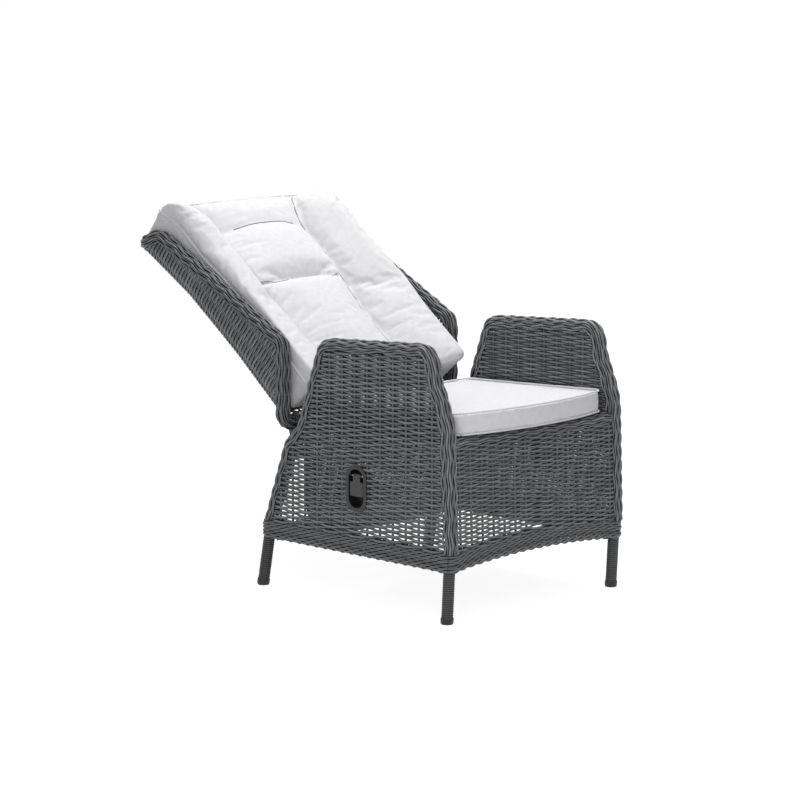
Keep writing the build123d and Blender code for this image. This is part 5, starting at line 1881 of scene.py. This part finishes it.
@dataclass
class Studio:
    """Camera, lamps, floor and white surroundings; nothing of it is part of the chair."""

    azimuth: float = -45.47
    elevation: float = 9.14
    distance: float = 8.16
    target: tuple = (-0.1312, 0.0, 0.4767)
    lens: float = 152.3
    sensor: float = 36.0
    world_level: float = 0.36
    floor_level: float = 0.9
    floor_reach: float = 60.0
    floor_paint: str = "#a2a2a2"    # under the glow that makes it white to the eye
    floor_plain: str = "#d8d8d8"    # for the rays that only carry light to the chair
    # A large lamp overhead, a little behind, and a weaker one low in front.
    lamps: tuple = (Lamp("key_lamp", 118.0, 76.0, 1.6, 100.0), Lamp("fill_lamp", -50.0, 14.0, 1.8, 29.0))
    lamp_distance: float = 3.4
    lamp_target: tuple = (0.0, 0.0, 0.5)

    def stand(self, made: bpy.types.Object, target: Vector, angles: tuple[float, float],
              distance: float) -> None:
        """Puts a camera or a lamp in the scene, looking at a target.

        Args:
            made: The camera or lamp.
            target: Point that it looks at.
            angles: Its azimuth and elevation from there, in degrees.
            distance: Its distance from there, in metres.
        """
        a, e = (math.radians(angle) for angle in angles)
        back = Vector((math.sin(a) * math.cos(e), -math.cos(a) * math.cos(e), math.sin(e)))
        made.location = target + back * distance
        made.rotation_euler = back.to_track_quat("Z", "Y").to_euler()
        bpy.context.scene.collection.objects.link(made)

    def build(self) -> None:
        """Builds the camera, the world, the floor and the lamps."""
        self.camera()
        self.world()
        self.floor()
        self.light()
        bpy.context.scene.view_settings.view_transform = "Standard"

    def camera(self) -> None:
        """Camera at the photograph's angle."""
        data = bpy.data.cameras.new("camera")
        data.lens, data.sensor_width = self.lens, self.sensor
        made = bpy.data.objects.new("camera", data)
        target = Vector(self.target) + Vector((DRAWN_TO_FRAME * MM).tolist())
        self.stand(made, target, (self.azimuth, self.elevation), self.distance)
        bpy.context.scene.camera = made

    def seen(self, tree: bpy.types.NodeTree) -> bpy.types.NodeSocket:
        """Tells the rays that show the surroundings: camera, glossy and transmitted ones.

        Args:
            tree: Node tree that asks.

        Returns:
            Output that is 1 for these rays.
        """
        path = add_node(tree, "ShaderNodeLightPath")
        either = add_node(tree, "ShaderNodeMath", {"operation": "MAXIMUM"}, {
            0: path.outputs["Is Camera Ray"], 1: path.outputs["Is Glossy Ray"],
        })
        return add_node(tree, "ShaderNodeMath", {"operation": "MAXIMUM"}, {
            0: either.outputs[0], 1: path.outputs["Is Transmission Ray"],
        }).outputs[0]

    def world(self) -> None:
        """White to the eye, and a plain soft light on the chair."""
        made = bpy.data.worlds.new("studio_world")
        bpy.context.scene.world = made
        made.use_nodes = True
        tree = made.node_tree
        tree.nodes.clear()
        level = add_node(tree, "ShaderNodeMix", {"data_type": "FLOAT"}, {
            0: self.seen(tree), 2: self.world_level, 3: 1.0,
        })
        light = add_node(tree, "ShaderNodeBackground", links={
            "Color": (1, 1, 1, 1), "Strength": level.outputs[0],
        })
        add_node(tree, "ShaderNodeOutputWorld", links={"Surface": light.outputs[0]})

    def floor(self) -> None:
        """White floor that keeps the chair's soft shadow."""
        points = self.floor_reach * np.array([[-1, -1, 0], [1, -1, 0], [1, 1, 0], [-1, 1, 0]], float)
        material = bpy.data.materials.new("white_studio_floor")
        material.use_nodes = True
        tree = material.node_tree
        tree.nodes.clear()
        paint = add_node(tree, "ShaderNodeBsdfDiffuse", links={"Color": linear(self.floor_paint)})
        glow = add_node(tree, "ShaderNodeEmission", links={"Strength": self.floor_level})
        both = add_node(tree, "ShaderNodeAddShader", links={0: paint.outputs[0], 1: glow.outputs[0]})
        plain = add_node(tree, "ShaderNodeBsdfDiffuse", links={"Color": linear(self.floor_plain)})
        shown = add_node(tree, "ShaderNodeMixShader", links={
            0: self.seen(tree), 1: plain.outputs[0], 2: both.outputs[0],
        })
        add_node(tree, "ShaderNodeOutputMaterial", links={"Surface": shown.outputs[0]})
        made = quad_object("studio_floor", points, np.array([[0, 1, 2, 3]]), material)

    def light(self) -> None:
        """Hangs the lamps."""
        for lamp in self.lamps:
            data = bpy.data.lights.new(lamp.name, "AREA")
            data.shape, data.size, data.energy = "SQUARE", lamp.width, lamp.power
            made = bpy.data.objects.new(lamp.name, data)
            self.stand(made, Vector(self.lamp_target), (lamp.azimuth, lamp.elevation), self.lamp_distance)


def main() -> None:
    """Builds the studio and every sub-assembly in order."""
    Studio().build()
    finishes = Finishes()
    WovenBase(finishes).build()
    WovenBack(finishes).build()
    SeatCushion(finishes).build()
    BackCushion(finishes).build()
    BareParts(finishes).build()


if __name__ == "__main__":
    main()
